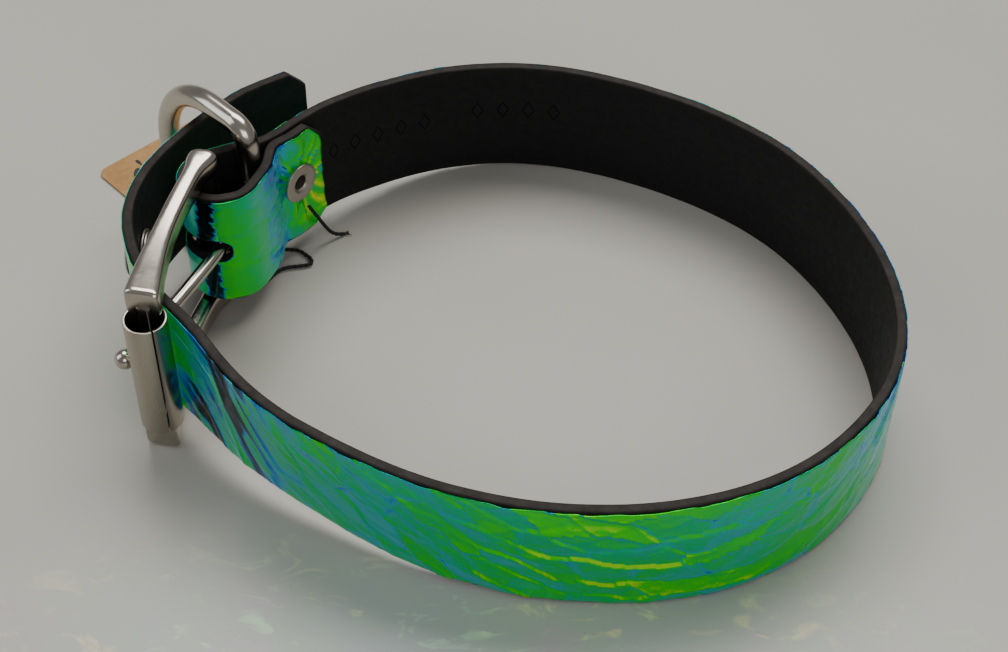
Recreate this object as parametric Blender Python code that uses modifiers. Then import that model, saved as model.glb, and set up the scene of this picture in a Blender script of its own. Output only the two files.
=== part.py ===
"""Leather buckle collar with an iridescent facing.

The collar stands on its lower edge, closed on its roller buckle.  +Z is up, +Y points from the
front of the loop to its back, and the buckle is at -X.  Lengths are metres.
"""
import math

import bmesh
import bpy
import numpy as np
from mathutils import Matrix, Vector

MM = 0.001
NAME = "buckle_collar"

# ---------------------------------------------------------------- driving dimensions

# Loop, measured on the leather's middle line seen from above.
LOOP_WIDTH = 126.5 * MM
LOOP_DEPTH = 108.3 * MM
LOOP_LEFT = -59.3 * MM
LOOP_FRONT = -54.2 * MM

# Strap section.
STRAP_WIDTH = 25.0 * MM
LEATHER = 1.6 * MM
LEATHER_EDGE_BEVEL = 0.3 * MM
FILM = 0.2 * MM
FILM_INSET = 0.4 * MM
END_CHAMFER = 3.4 * MM
TOUCH_GAP = 0.25 * MM
FRONT_LEAN = math.radians(7.0)

# Fold of the strap round the heel bar, and the folded tab.
FOLD_CENTRE = Vector((-52.8 * MM, 15.3 * MM))
FOLD_RADIUS = 6.25 * MM
FOLD_START = math.radians(-50.0)
FOLD_END = math.radians(-250.0)
LAYER_GAP = 0.3 * MM
RIVET_FROM_FOLD = 15.0 * MM
TAB_BEYOND_RIVET = 7.5 * MM
RIVET_RAISE = 1.0 * MM

# Buckle frame.
HEEL_BAR_AT = Vector((-54.6 * MM, 14.3 * MM))
HEEL_BAR_DIAMETER = 4.0 * MM
FRONT_BAR_AT = Vector((-60.5 * MM, -19.9 * MM))
FRONT_BAR_DIAMETER = 3.4 * MM
ARM_HEIGHT = 5.6 * MM
ARM_FRONT_WIDTH = 6.2 * MM
ARM_WAIST_WIDTH = 3.6 * MM
ARM_BOW = 1.7 * MM
LOWER_ARM_REACH = 1.8 * MM
FRAME_CLEARANCE = 0.4 * MM

# Roller, a rolled sheet tube that hangs loose on the front bar.
ROLLER_DIAMETER = 7.5 * MM
ROLLER_WALL = 0.5 * MM
ROLLER_SEAM = 0.35 * MM
ROLLER_END_CLEARANCE = 0.3 * MM
BAR_CLEARANCE = 0.25 * MM
STRAP_PASS_CLEARANCE = 0.35 * MM
STRAP_PASS_ANGLE = math.radians(44.6)

# Prong.
PRONG_WIRE = 2.5 * MM
PRONG_BULB = 3.6 * MM
PRONG_BAR_GAP = 0.3 * MM
PRONG_CURL_START = math.radians(235.0)
PRONG_CURL_END = math.radians(-20.0)
PRONG_TIP_ANGLE = math.radians(157.0)
PRONG_TIP_DIRECTION = Vector((-0.47, -0.88)).normalized()
SLOT_CLEARANCE = 1.25 * MM
PRONG_SLACK = 0.4 * MM

# D-ring, its straight bar in the pocket of the fold.
RING_BAR_AT = Vector((-47.9 * MM, 20.9 * MM))
RING_WIRE = 4.2 * MM
RING_SLACK = 5.0 * MM
RING_DEPTH = 25.5 * MM
RING_LEGS = 9.5 * MM
RING_BEARING = math.radians(135.0)
FLOOR_CLEARANCE = 0.1 * MM

# Rivet through the folded tab.
RIVET_FLANGE_DIAMETER = 8.0 * MM
RIVET_BARREL_DIAMETER = 4.2 * MM
RIVET_BORE_DIAMETER = 3.0 * MM
RIVET_FLANGE = 0.45 * MM
RIVET_CAP_DIAMETER = 7.6 * MM
RIVET_CAP_RISE = 1.0 * MM
RIVET_SEAT_GAP = 0.45 * MM

# Eyelets of the adjustment holes.
EYELET_COUNT = 3
EYELET_PITCH = 19.0 * MM
EYELET_BORE_DIAMETER = 6.0 * MM
EYELET_WALL = 0.3 * MM
EYELET_FLANGE_DIAMETER = 8.8 * MM
EYELET_SEAT_GAP = 0.4 * MM
HOLE_CLEARANCE = 0.3 * MM

# Hang tag and its string.
TAG_LENGTH = 30.0 * MM
TAG_WIDTH = 25.0 * MM
TAG_CARD = 0.4 * MM
TAG_CORNER_RADIUS = 2.0 * MM
TAG_CORNER_AT = Vector((-84.6 * MM, 49.5 * MM))
TAG_BEARING = math.radians(-46.0)
TAG_HOLE_DIAMETER = 3.0 * MM
TAG_HOLE_INSET = 4.5 * MM
STRING_DIAMETER = 0.8 * MM

# ---------------------------------------------------------------- derived places

# The buckle and the ring stand on the table, and carry the strap's end clear of it.  The strap
# is level across the buckle, and comes down to the table over the run beyond.
LEVEL_TO_X = HEEL_BAR_AT.x + 4.0 * MM
LIFT_RUN = 72.0 * MM
RING_SHARE = (1 - (RING_BAR_AT.x + 4 * MM - LEVEL_TO_X) / LIFT_RUN) ** 2
FRAME_LIFT = ARM_HEIGHT + FRAME_CLEARANCE
RING_LIFT = (FLOOR_CLEARANCE + RING_WIRE + TOUCH_GAP) / RING_SHARE
STRAP_LIFT = max(FRAME_LIFT, RING_LIFT)
BUCKLE_MID_Z = STRAP_LIFT + STRAP_WIDTH / 2
FRAME_OPENING = STRAP_WIDTH + 2 * FRAME_CLEARANCE

LEATHER_FACE = LEATHER / 2
FILM_IN = LEATHER_FACE + TOUCH_GAP
FILM_OUT = FILM_IN + FILM
LAYER_PITCH = LEATHER + LAYER_GAP

BAR_DIRECTION = (HEEL_BAR_AT - FRONT_BAR_AT).normalized()
ROLLER_RADIUS = ROLLER_DIAMETER / 2
ROLLER_HANG = ROLLER_RADIUS - ROLLER_WALL - FRONT_BAR_DIAMETER / 2 - BAR_CLEARANCE
ROLLER_AT = FRONT_BAR_AT - BAR_DIRECTION * ROLLER_HANG

# Middle line of the loop as shares of its width and depth, from behind the tab, clockwise
# round the back, right and front, to just before the roller.
LOOP_SHAPE = (
    (0.252, 0.910), (0.403, 0.992), (0.534, 1.000), (0.659, 0.958), (0.779, 0.883),
    (0.876, 0.785), (0.942, 0.670), (0.985, 0.542), (1.000, 0.411), (0.982, 0.287),
    (0.929, 0.176), (0.847, 0.084), (0.742, 0.024), (0.622, 0.000), (0.505, 0.006),
    (0.401, 0.034), (0.307, 0.080), (0.215, 0.144), (0.112, 0.229),
)
# Middle line behind the rivet, between the fold and the loop.
BEHIND_TAB = ((-50.4, 23.2), (-46.8, 25.1), (-40.8, 31.9), (-36.2, 37.3))
# Middle line of the tab where it opens round the ring's bar.
POCKET = ((-46.2, 15.0), (-44.6, 20.4))
# Middle line of the free end, from behind the roller to its tip.
TAIL = ((-63.3, -8.2), (-67.3, 4.9), (-65.5, 17.2), (-60.3, 27.0), (-51.2, 38.3), (-40.6, 47.9))

# Route of the tag's string: out of the pocket, a tight turn on the table, back under the
# fold, and to the tag's hole.
STRING_ROUTE = (
    (-45.3, 24.0, 3.3), (-44.4, 25.6, 2.2), (-43.0, 27.0, 0.9), (-41.3, 27.0, 0.6),
    (-39.9, 25.9, 0.6), (-38.8, 24.7, 0.6), (-38.7, 23.6, 0.6), (-39.8, 23.0, 0.6),
    (-41.9, 22.6, 0.6), (-43.9, 22.0, 0.6), (-45.6, 20.4, 0.6), (-47.2, 18.2, 0.6),
    (-49.2, 17.4, 0.6), (-51.0, 18.6, 0.6), (-53.0, 20.3, 0.6), (-56.2, 21.6, 0.6),
    (-59.6, 23.4, 0.6), (-62.4, 26.4, 0.7), (-64.2, 30.2, 1.1), (-64.0, 34.4, 1.1),
    (-61.8, 38.0, 1.1), (-59.4, 39.7, 1.0), (-57.9, 39.9, 0.6),
)
# Bare end of the string: down the tab's face from the rivet, and on to the table.
STRING_END_ROUTE = (
    (-38.6, 27.1, 12.4), (-38.0, 27.8, 10.4), (-37.3, 28.6, 8.2), (-36.6, 29.4, 5.9),
    (-35.8, 30.2, 3.6), (-34.9, 30.9, 1.9), (-33.8, 31.6, 0.9), (-32.8, 32.2, 0.5),
)


# ---------------------------------------------------------------- plane curves

def smooth_curve(points, start_dir=None, end_dir=None, step=0.5 * MM):
    """Dense points on a cubic spline through points, even in curvature, by chord length."""
    knots = np.array([tuple(p) for p in points], dtype=float)
    count, size = knots.shape
    chord = np.linalg.norm(np.diff(knots, axis=0), axis=1)
    rise = np.diff(knots, axis=0) / chord[:, None]
    matrix = np.zeros((count, count))
    right = np.zeros((count, size))
    for i in range(1, count - 1):
        matrix[i, i - 1] = 1 / chord[i - 1]
        matrix[i, i] = 2 * (1 / chord[i - 1] + 1 / chord[i])
        matrix[i, i + 1] = 1 / chord[i]
        right[i] = 3 * (rise[i - 1] / chord[i - 1] + rise[i] / chord[i])
    for row, neighbour, direction, slope in ((0, 1, start_dir, rise[0]),
                                             (-1, -2, end_dir, rise[-1])):
        if direction is None:
            matrix[row, row] = 2
            matrix[row, neighbour] = 1
            right[row] = 3 * slope
        else:
            matrix[row, row] = 1
            right[row] = tuple(direction)
    slopes = np.linalg.solve(matrix, right)
    dense = [knots[:1]]
    for i in range(count - 1):
        parts = max(2, math.ceil(chord[i] / step))
        t = np.linspace(0, 1, parts + 1)[1:, None]
        dense.append(
            (2 * t ** 3 - 3 * t ** 2 + 1) * knots[i]
            + (t ** 3 - 2 * t ** 2 + t) * chord[i] * slopes[i]
            + (3 * t ** 2 - 2 * t ** 3) * knots[i + 1]
            + (t ** 3 - t ** 2) * chord[i] * slopes[i + 1])
    return np.concatenate(dense)


def arc_points(centre, radius, start, end, step=0.5 * MM):
    """Points on a circular arc from angle start to angle end."""
    parts = max(4, math.ceil(abs(end - start) * radius / step))
    angles = np.linspace(start, end, parts + 1)
    return np.stack([centre[0] + radius * np.cos(angles),
                     centre[1] + radius * np.sin(angles)], axis=1)


def lengths_along(points):
    """Arc length at each point."""
    steps = np.linalg.norm(np.diff(points, axis=0), axis=1)
    return np.concatenate([[0.0], np.cumsum(steps)])


def millimetres(points):
    return [tuple(value * MM for value in point) for point in points]


class StrapPath:
    """The strap's middle line seen from above, from the tab's end to the tail's tip."""

    def __init__(self):
        inward = Vector((math.cos(STRAP_PASS_ANGLE), math.sin(STRAP_PASS_ANGLE)))
        pass_reach = ROLLER_RADIUS + STRAP_PASS_CLEARANCE + FILM_OUT
        passing = ROLLER_AT + inward * pass_reach
        pass_dir = Vector((-inward.y, inward.x))

        fold = arc_points(FOLD_CENTRE, FOLD_RADIUS, FOLD_START, FOLD_END)
        fold_in_dir = (math.sin(FOLD_START), -math.cos(FOLD_START))
        fold_out_dir = (math.sin(FOLD_END), -math.cos(FOLD_END))
        loop_knots = [(LOOP_LEFT + u * LOOP_WIDTH, LOOP_FRONT + v * LOOP_DEPTH)
                      for u, v in LOOP_SHAPE]
        loop = smooth_curve([fold[-1], *millimetres(BEHIND_TAB), *loop_knots, passing],
                            fold_out_dir, pass_dir)
        tail = smooth_curve([passing, *millimetres(TAIL)], pass_dir)

        # The tab lies parallel to the loop where the rivet holds the two together.
        loop_s = lengths_along(loop)
        tab_end = RIVET_FROM_FOLD + TAB_BEYOND_RIVET
        laid = []
        for s in np.linspace(tab_end, RIVET_FROM_FOLD - 4 * MM, 5):
            at = np.array([np.interp(s, loop_s, loop[:, 0]), np.interp(s, loop_s, loop[:, 1])])
            ahead = np.array([np.interp(s + MM, loop_s, loop[:, 0]),
                              np.interp(s + MM, loop_s, loop[:, 1])])
            along = (ahead - at) / np.linalg.norm(ahead - at)
            laid.append(at + LAYER_PITCH * np.array([along[1], -along[0]]))
        tab = smooth_curve([*laid, *reversed(millimetres(POCKET)), fold[0]], None, fold_in_dir)

        self.points = np.concatenate([tab, fold[1:], loop[1:], tail[1:]])
        self.s = lengths_along(self.points)
        self.length = self.s[-1]
        self.fold_end = lengths_along(tab)[-1] + lengths_along(fold)[-1]
        self.loop_start = self.fold_end
        self.pass_s = self.fold_end + loop_s[-1]
        self.rivet_s = self.fold_end + RIVET_FROM_FOLD
        tangent = np.gradient(self.points, self.s, axis=0)
        self.tangent = tangent / np.linalg.norm(tangent, axis=1)[:, None]

    def at(self, s):
        """Place, direction of travel and outward direction (the film's side) at arc length s."""
        place = Vector([np.interp(s, self.s, self.points[:, k]) for k in (0, 1)])
        along = Vector([np.interp(s, self.s, self.tangent[:, k]) for k in (0, 1)]).normalized()
        return place, along, Vector((-along.y, along.x))

    def stations(self, start, end, turn=math.radians(9.0), run=4.5 * MM):
        """Arc lengths from start to end, closer together where the strap bends."""
        heading = np.unwrap(np.arctan2(self.tangent[:, 1], self.tangent[:, 0]))
        turned = np.concatenate([[0.0], np.cumsum(np.abs(np.diff(heading)))])
        cost = turned / turn + self.s / run
        low = np.interp(start, self.s, cost)
        high = np.interp(end, self.s, cost)
        parts = max(2, math.ceil(high - low))
        return np.interp(np.linspace(low, high, parts + 1), cost, self.s)

    def crossing(self, other, start):
        """Arc length past start at which the strap is nearest to any point of other."""
        mask = self.s > start
        gaps = np.linalg.norm(self.points[mask][:, None] - other[None], axis=2).min(axis=1)
        return self.s[mask][np.argmin(gaps)]

    def frame(self, s, height):
        """Matrix at arc length s: local Z outward, local X along the strap, local Y down."""
        place, along, out = self.at(s)
        z = strap_bottom(place.x) + height
        axis_z = Vector((out.x, out.y, 0))
        axis_x = Vector((along.x, along.y, 0))
        axis_y = axis_z.cross(axis_x)
        matrix = Matrix((axis_x, axis_y, axis_z)).transposed().to_4x4()
        matrix.translation = Vector((place.x, place.y, z))
        return matrix


def strap_bottom(x):
    """Height of the strap's lower edge over the table."""
    share = 1 - (x - LEVEL_TO_X) / LIFT_RUN
    return STRAP_LIFT * min(max(share, 0.0), 1.0) ** 2


def front_lean(path, s):
    """How far the strap leans outward: a soft twist of the front, nothing at the buckle."""
    before = path.pass_s - s
    if before <= 0:
        return 0.0
    rise = min(before / (32 * MM), 1.0)
    fall = min(max(1 - (before - 32 * MM) / (80 * MM), 0.0), 1.0)
    return FRONT_LEAN * math.sin(rise * math.pi / 2) ** 2 * fall ** 1.5


# ---------------------------------------------------------------- Blender helpers

def clear_scene():
    for item in list(bpy.data.objects):
        bpy.data.objects.remove(item, do_unlink=True)


def new_collection(name):
    collection = bpy.data.collections.new(name)
    bpy.context.scene.collection.children.link(collection)
    return collection


def material(name, colour, roughness, metallic=0.0):
    made = bpy.data.materials.new(name)
    made.use_nodes = True
    shader = made.node_tree.nodes["Principled BSDF"]
    shader.inputs["Base Color"].default_value = (*colour, 1.0)
    shader.inputs["Roughness"].default_value = roughness
    shader.inputs["Metallic"].default_value = metallic
    made.diffuse_color = (*colour, 1.0)
    return made


def add_object(name, data, collection, finish=None):
    item = bpy.data.objects.new(name, data)
    collection.objects.link(item)
    if finish is not None:
        data.materials.append(finish)
    return item


def smooth_shading(mesh, angle=math.radians(40)):
    mesh.shade_smooth()
    mesh.set_sharp_from_angle(angle=angle)


def to_mesh_object(source, collection, finish=None):
    """A curve object's evaluated solid as a mesh object of the same name and place."""
    bpy.context.view_layer.update()
    evaluated = source.evaluated_get(bpy.context.evaluated_depsgraph_get())
    mesh = bpy.data.meshes.new_from_object(evaluated)
    edit = bmesh.new()
    edit.from_mesh(mesh)
    bmesh.ops.remove_doubles(edit, verts=edit.verts, dist=0.001 * MM)
    bmesh.ops.recalc_face_normals(edit, faces=edit.faces)
    edit.to_mesh(mesh)
    edit.free()
    mesh.materials.clear()
    place = source.matrix_world.copy()
    name = source.name
    bpy.data.objects.remove(source, do_unlink=True)
    item = add_object(name, mesh, collection, finish)
    item.matrix_world = place
    return item


def tube(name, points, diameter, collection, finish=None, cyclic=False, sides=2, radii=None):
    """A round wire along 3-D points."""
    curve = bpy.data.curves.new(name, "CURVE")
    curve.dimensions = "3D"
    curve.bevel_depth = diameter / 2
    curve.bevel_resolution = sides
    curve.use_fill_caps = not cyclic
    spline = curve.splines.new("POLY")
    spline.points.add(len(points) - 1)
    for i, point in enumerate(points):
        spline.points[i].co = (*point, 1.0)
        spline.points[i].radius = 1.0 if radii is None else radii[i]
    spline.use_cyclic_u = cyclic
    return add_object(name, curve, collection, finish)


def plate(name, outlines, thickness, collection, finish=None):
    """A flat plate: the first outline is its edge, the others are its holes."""
    curve = bpy.data.curves.new(name, "CURVE")
    curve.dimensions = "2D"
    curve.fill_mode = "BOTH"
    curve.extrude = thickness / 2
    for outline in outlines:
        spline = curve.splines.new("POLY")
        spline.points.add(len(outline) - 1)
        for i, point in enumerate(outline):
            spline.points[i].co = (point[0], point[1], 0.0, 1.0)
        spline.use_cyclic_u = True
    return add_object(name, curve, collection, finish)


def turned(name, profile, collection, finish=None, closed=True, steps=32):
    """A profile of (radius, height) points turned about local Z."""
    mesh = bpy.data.meshes.new(name)
    edges = [(i, i + 1) for i in range(len(profile) - 1)]
    if closed:
        edges.append((len(profile) - 1, 0))
    mesh.from_pydata([(r, 0.0, z) for r, z in profile], edges, [])
    item = add_object(name, mesh, collection, finish)
    screw = item.modifiers.new("turn", "SCREW")
    screw.axis = "Z"
    screw.steps = steps
    screw.render_steps = steps
    screw.use_merge_vertices = True
    screw.merge_threshold = 0.01 * MM
    screw.use_smooth_shade = True
    return item


def cylinder(name, diameter, low, high, collection, vertices=32):
    """A cylinder about local Z, from low to high."""
    mesh = bpy.data.meshes.new(name)
    edit = bmesh.new()
    bmesh.ops.create_cone(edit, cap_ends=True, segments=vertices, radius1=diameter / 2,
                          radius2=diameter / 2, depth=high - low,
                          matrix=Matrix.Translation((0, 0, (low + high) / 2)))
    edit.to_mesh(mesh)
    edit.free()
    return add_object(name, mesh, collection)


def hide_cutter(item):
    item.hide_render = True
    item.display_type = "WIRE"


def combine(target, other, operation):
    step = target.modifiers.new(operation.lower(), "BOOLEAN")
    step.operation = operation
    step.solver = "EXACT"
    step.object = other
    hide_cutter(other)


# ---------------------------------------------------------------- strap and facing

def ribbon(name, path, start, end, offset, inset, thickness, collection, finish):
    """A band that follows the strap's path, with chamfered corners at both ends."""
    stations = path.stations(start + END_CHAMFER, end - END_CHAMFER)
    stations = [start, *stations, end]
    edit = bmesh.new()
    lower = []
    upper = []
    for s in stations:
        place, _, out = path.at(s)
        trimmed = inset + max(END_CHAMFER - min(s - start, end - s), 0.0)
        low = strap_bottom(place.x) + trimmed
        high = strap_bottom(place.x) + STRAP_WIDTH - trimmed
        tilt = math.tan(front_lean(path, s))
        low_out = offset + inset * tilt
        high_out = offset + (STRAP_WIDTH - trimmed) * tilt
        lower.append(edit.verts.new((*(place + out * low_out), low)))
        upper.append(edit.verts.new((*(place + out * high_out), high)))
    for i in range(len(stations) - 1):
        edit.faces.new((lower[i], upper[i], upper[i + 1], lower[i + 1]))
    mesh = bpy.data.meshes.new(name)
    edit.to_mesh(mesh)
    edit.free()
    item = add_object(name, mesh, collection, finish)
    shell = item.modifiers.new("thickness", "SOLIDIFY")
    shell.thickness = thickness
    shell.offset = 0.0
    shell.use_even_offset = True
    return item


def make_strap(path, parts, finish):
    strap = ribbon("strap", path, 0.0, path.length, 0.0, 0.0, LEATHER, parts, finish)
    edge = strap.modifiers.new("edges", "BEVEL")
    edge.width = LEATHER_EDGE_BEVEL
    edge.segments = 1
    edge.limit_method = "ANGLE"
    edge.angle_limit = math.radians(60)
    return strap


def make_facing(path, parts, finish):
    middle = (FILM_IN + FILM_OUT) / 2
    return ribbon("facing", path, FILM_INSET, path.length - FILM_INSET, middle, FILM_INSET,
                  FILM, parts, finish)


def cut_round_holes(path, strap, facing, cutters, eyelet_places):
    holes = [("rivet_hole", path.rivet_s, rivet_height(), RIVET_BARREL_DIAMETER)]
    for i, s in enumerate(eyelet_places):
        barrel = EYELET_BORE_DIAMETER + 2 * EYELET_WALL
        holes.append((f"eyelet_hole_{i + 1}", s, STRAP_WIDTH / 2, barrel))
    for name, s, height, diameter in holes:
        reach = LAYER_PITCH + FILM_OUT + MM if name == "rivet_hole" else FILM_OUT + MM
        cutter = cylinder(name, diameter + 2 * HOLE_CLEARANCE, -reach, FILM_OUT + MM, cutters)
        cutter.matrix_world = path.frame(s, height)
        combine(strap, cutter, "DIFFERENCE")
        combine(facing, cutter, "DIFFERENCE")


def cut_prong_slot(strap, facing, cutters):
    """An oval slot round the fold, which lets the prong's curl turn on the heel bar."""
    half = PRONG_WIRE / 2 + SLOT_CLEARANCE
    right = HEEL_BAR_AT.x + HEEL_BAR_DIAMETER / 2 + PRONG_WIRE * 0.88
    left = FOLD_CENTRE.x - FOLD_RADIUS - FILM_OUT - 1.5 * MM
    bend = arc_points((right - half, 0.0), half, -math.pi / 2, math.pi / 2, MM)
    outline = [*bend, (left, half), (left, -half)]
    front = FOLD_CENTRE.y - FOLD_RADIUS - FILM_OUT - MM
    back = FOLD_CENTRE.y + FOLD_RADIUS * 0.7
    slot = plate("prong_slot", [outline], back - front, cutters)
    slot.matrix_world = (Matrix.Translation((0, (front + back) / 2, BUCKLE_MID_Z))
                         @ Matrix.Rotation(math.radians(90), 4, "X"))
    slot = to_mesh_object(slot, cutters)
    combine(strap, slot, "DIFFERENCE")
    combine(facing, slot, "DIFFERENCE")


# ---------------------------------------------------------------- buckle

def rounded_section(centre, across, width, height, power=3.2, sides=20):
    """One ring of an arm: a rounded rectangle across the arm's direction."""
    ring = []
    for k in range(sides):
        angle = 2 * math.pi * (k + 0.5) / sides
        c = math.cos(angle)
        s = math.sin(angle)
        a = math.copysign(abs(c) ** (2 / power), c) * width / 2
        b = math.copysign(abs(s) ** (2 / power), s) * height / 2
        ring.append(Vector((centre[0] + across[0] * a, centre[1] + across[1] * a,
                            centre[2] + b)))
    return ring


def loft(name, rings, collection, finish=None):
    """A closed skin over rings of equally many points."""
    edit = bmesh.new()
    rows = [[edit.verts.new(point) for point in ring] for ring in rings]
    sides = len(rows[0])
    for lower, upper in zip(rows, rows[1:]):
        for k in range(sides):
            j = (k + 1) % sides
            edit.faces.new((lower[k], lower[j], upper[j], upper[k]))
    edit.faces.new(rows[0])
    edit.faces.new(rows[-1])
    bmesh.ops.recalc_face_normals(edit, faces=edit.faces)
    mesh = bpy.data.meshes.new(name)
    edit.to_mesh(mesh)
    edit.free()
    smooth_shading(mesh)
    return add_object(name, mesh, collection, finish)


def arm(name, side, collection, finish=None):
    """One arm of the frame; side is +1 for the upper arm and -1 for the lower one."""
    middle_z = BUCKLE_MID_Z + side * (FRAME_OPENING + ARM_HEIGHT) / 2
    lip_reach = 1.2 * MM + (LOWER_ARM_REACH if side < 0 else 0.0)
    front = FRONT_BAR_AT - BAR_DIRECTION * lip_reach
    heel = HEEL_BAR_AT + BAR_DIRECTION * 2.4 * MM
    run = (heel - front).length
    out = Vector((-BAR_DIRECTION.y, BAR_DIRECTION.x))
    rings = []
    count = 22
    for i in range(count + 1):
        share = i / count
        bow = ARM_BOW * math.sin(math.pi * share) ** 0.9 if 0 < share < 1 else 0.0
        centre = front + BAR_DIRECTION * run * share + out * bow
        taper = min(share / 0.55, 1.0)
        waist = ARM_FRONT_WIDTH + (ARM_WAIST_WIDTH - ARM_FRONT_WIDTH) * math.sin(
            taper * math.pi / 2) ** 1.3
        knob = 1.9 * MM * math.exp(-((share - 0.93) / 0.07) ** 2)
        width = waist + knob
        height = ARM_HEIGHT * (1 - 0.16 * math.sin(math.pi * min(share / 0.9, 1.0)))
        close = min((1 - share) / 0.06, 1.0)
        end = math.sqrt(max(1 - (1 - close) ** 2, 0.12))
        lip = 0.9 if i == 0 else 1.0
        # The face towards the strap stays level, so the arm thins from its outer side.
        level = middle_z - side * (ARM_HEIGHT - height * end * lip) / 2
        rings.append(rounded_section((*centre, level), out, width * end * lip,
                                     height * end * lip))
    return loft(name, rings, collection, finish)


def make_frame(parts, cutters, finish):
    frame = arm("buckle_frame", 1, parts, finish)
    combine(frame, arm("lower_arm", -1, cutters), "UNION")
    reach = (FRAME_OPENING + ARM_HEIGHT) / 2
    for name, place, diameter in (("heel_bar", HEEL_BAR_AT, HEEL_BAR_DIAMETER),
                                  ("front_bar", FRONT_BAR_AT, FRONT_BAR_DIAMETER)):
        bar = cylinder(name, diameter, -reach, reach, cutters, 24)
        bar.location = (*place, BUCKLE_MID_Z)
        combine(frame, bar, "UNION")
    return frame


def make_roller(parts, finish):
    half_seam = ROLLER_SEAM / ROLLER_DIAMETER
    seam = math.radians(-62)
    start = seam + half_seam
    end = seam + 2 * math.pi - half_seam
    outer = arc_points((0, 0), ROLLER_RADIUS, start, end, 0.9 * MM)
    inner = arc_points((0, 0), ROLLER_RADIUS - ROLLER_WALL, end, start, 0.9 * MM)
    length = FRAME_OPENING - 2 * ROLLER_END_CLEARANCE
    roller = plate("roller", [[*outer, *inner]], length, parts, finish)
    roller.location = (*ROLLER_AT, BUCKLE_MID_Z)
    return roller


def prong_line():
    """Middle line of the prong seen from above: curl round the heel bar, shank, tip."""
    curl_radius = HEEL_BAR_DIAMETER / 2 + PRONG_BAR_GAP + PRONG_WIRE / 2
    curl = arc_points(HEEL_BAR_AT, curl_radius, PRONG_CURL_START, PRONG_CURL_END, MM)
    leave = (math.sin(PRONG_CURL_END), -math.cos(PRONG_CURL_END))
    tip_reach = ROLLER_RADIUS + TOUCH_GAP + PRONG_BULB / 2
    tip = ROLLER_AT + tip_reach * Vector((math.cos(PRONG_TIP_ANGLE),
                                          math.sin(PRONG_TIP_ANGLE)))
    shank = smooth_curve([curl[-1], tip], leave, PRONG_TIP_DIRECTION, 1.2 * MM)
    return np.concatenate([curl, shank[1:]])


def make_prong(parts, finish):
    line = prong_line()
    s = lengths_along(line)
    bulb = PRONG_BULB / 2
    tip = line[-1]
    direction = line[-1] - line[-2]
    direction = direction / np.linalg.norm(direction)
    body = [(p, 1.0) for p, at in zip(line, s) if at < s[-1] - bulb * 1.9]
    # The bulb is an egg: points past its middle close it.
    for angle in np.linspace(150, 8, 9):
        reach = bulb * math.cos(math.radians(angle))
        radius = bulb * math.sin(math.radians(angle)) / (PRONG_WIRE / 2)
        body.append((tip + direction * reach, max(radius, 0.25)))
    points = [(p[0], p[1], BUCKLE_MID_Z) for p, _ in body]
    prong = tube("prong", points, PRONG_WIRE, parts, sides=3, radii=[r for _, r in body])
    prong = to_mesh_object(prong, parts, finish)
    smooth_shading(prong.data)
    prong.data.transform(Matrix.Translation((-HEEL_BAR_AT.x, -HEEL_BAR_AT.y, 0)))
    prong.location = (*HEEL_BAR_AT, 0)
    return prong


# ---------------------------------------------------------------- ring, rivet, eyelets

def make_ring(parts, finish):
    """A D of round wire: straight bar at the origin, two legs, and a bow along its bearing."""
    half = (STRAP_WIDTH + RING_SLACK + RING_WIRE) / 2
    middle = FLOOR_CLEARANCE + RING_WIRE / 2 + half
    corner = RING_WIRE / 2
    points = []
    for angle in np.radians(np.linspace(-90, 90, 25)):
        points.append((RING_LEGS + (RING_DEPTH - RING_LEGS) * math.cos(angle), 0.0,
                       middle + half * math.sin(angle)))
    for side in (1, -1):
        turns = np.radians(np.linspace(0, 90, 4))
        bend = [(corner * (1 - math.sin(a)), 0.0,
                 middle + side * (half - corner + corner * math.cos(a))) for a in turns]
        points.extend(bend if side == 1 else reversed(bend))
    ring = tube("d_ring", points, RING_WIRE, parts, finish, cyclic=True, sides=4)
    ring.location = (*RING_BAR_AT, 0)
    ring.rotation_euler = (0, 0, RING_BEARING)
    return ring


def rivet_height():
    return STRAP_WIDTH / 2 + RIVET_RAISE


def make_rivet(path, parts, finish):
    """A tubular rivet: flat flange on the tab, barrel through both layers, domed cap outside."""
    place = path.frame(path.rivet_s, rivet_height())
    flange = RIVET_FLANGE_DIAMETER / 2
    barrel = RIVET_BARREL_DIAMETER / 2
    bore = RIVET_BORE_DIAMETER / 2
    seat = -(LAYER_PITCH + FILM_OUT + RIVET_SEAT_GAP)
    cap_seat = FILM_OUT + RIVET_SEAT_GAP
    tubular = turned("tab_rivet", [
        (barrel, cap_seat - TOUCH_GAP), (barrel, seat), (flange, seat),
        (flange, seat - 0.7 * RIVET_FLANGE), (flange - 0.3 * MM, seat - RIVET_FLANGE),
        (bore + 0.5 * MM, seat - RIVET_FLANGE), (bore, seat - 0.4 * RIVET_FLANGE),
        (bore, cap_seat - TOUCH_GAP)], parts, finish)
    tubular.matrix_world = place
    rim = RIVET_CAP_DIAMETER / 2
    shoulder = cap_seat + 0.4 * MM
    dome = [(rim * math.sin(a), shoulder + RIVET_CAP_RISE * math.cos(a))
            for a in np.radians(np.linspace(0, 75, 6))]
    cap = turned("rivet_cap", [*dome, (rim, shoulder), (rim, cap_seat), (0.0, cap_seat)],
                 parts, finish, closed=False)
    cap.matrix_world = place


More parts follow.
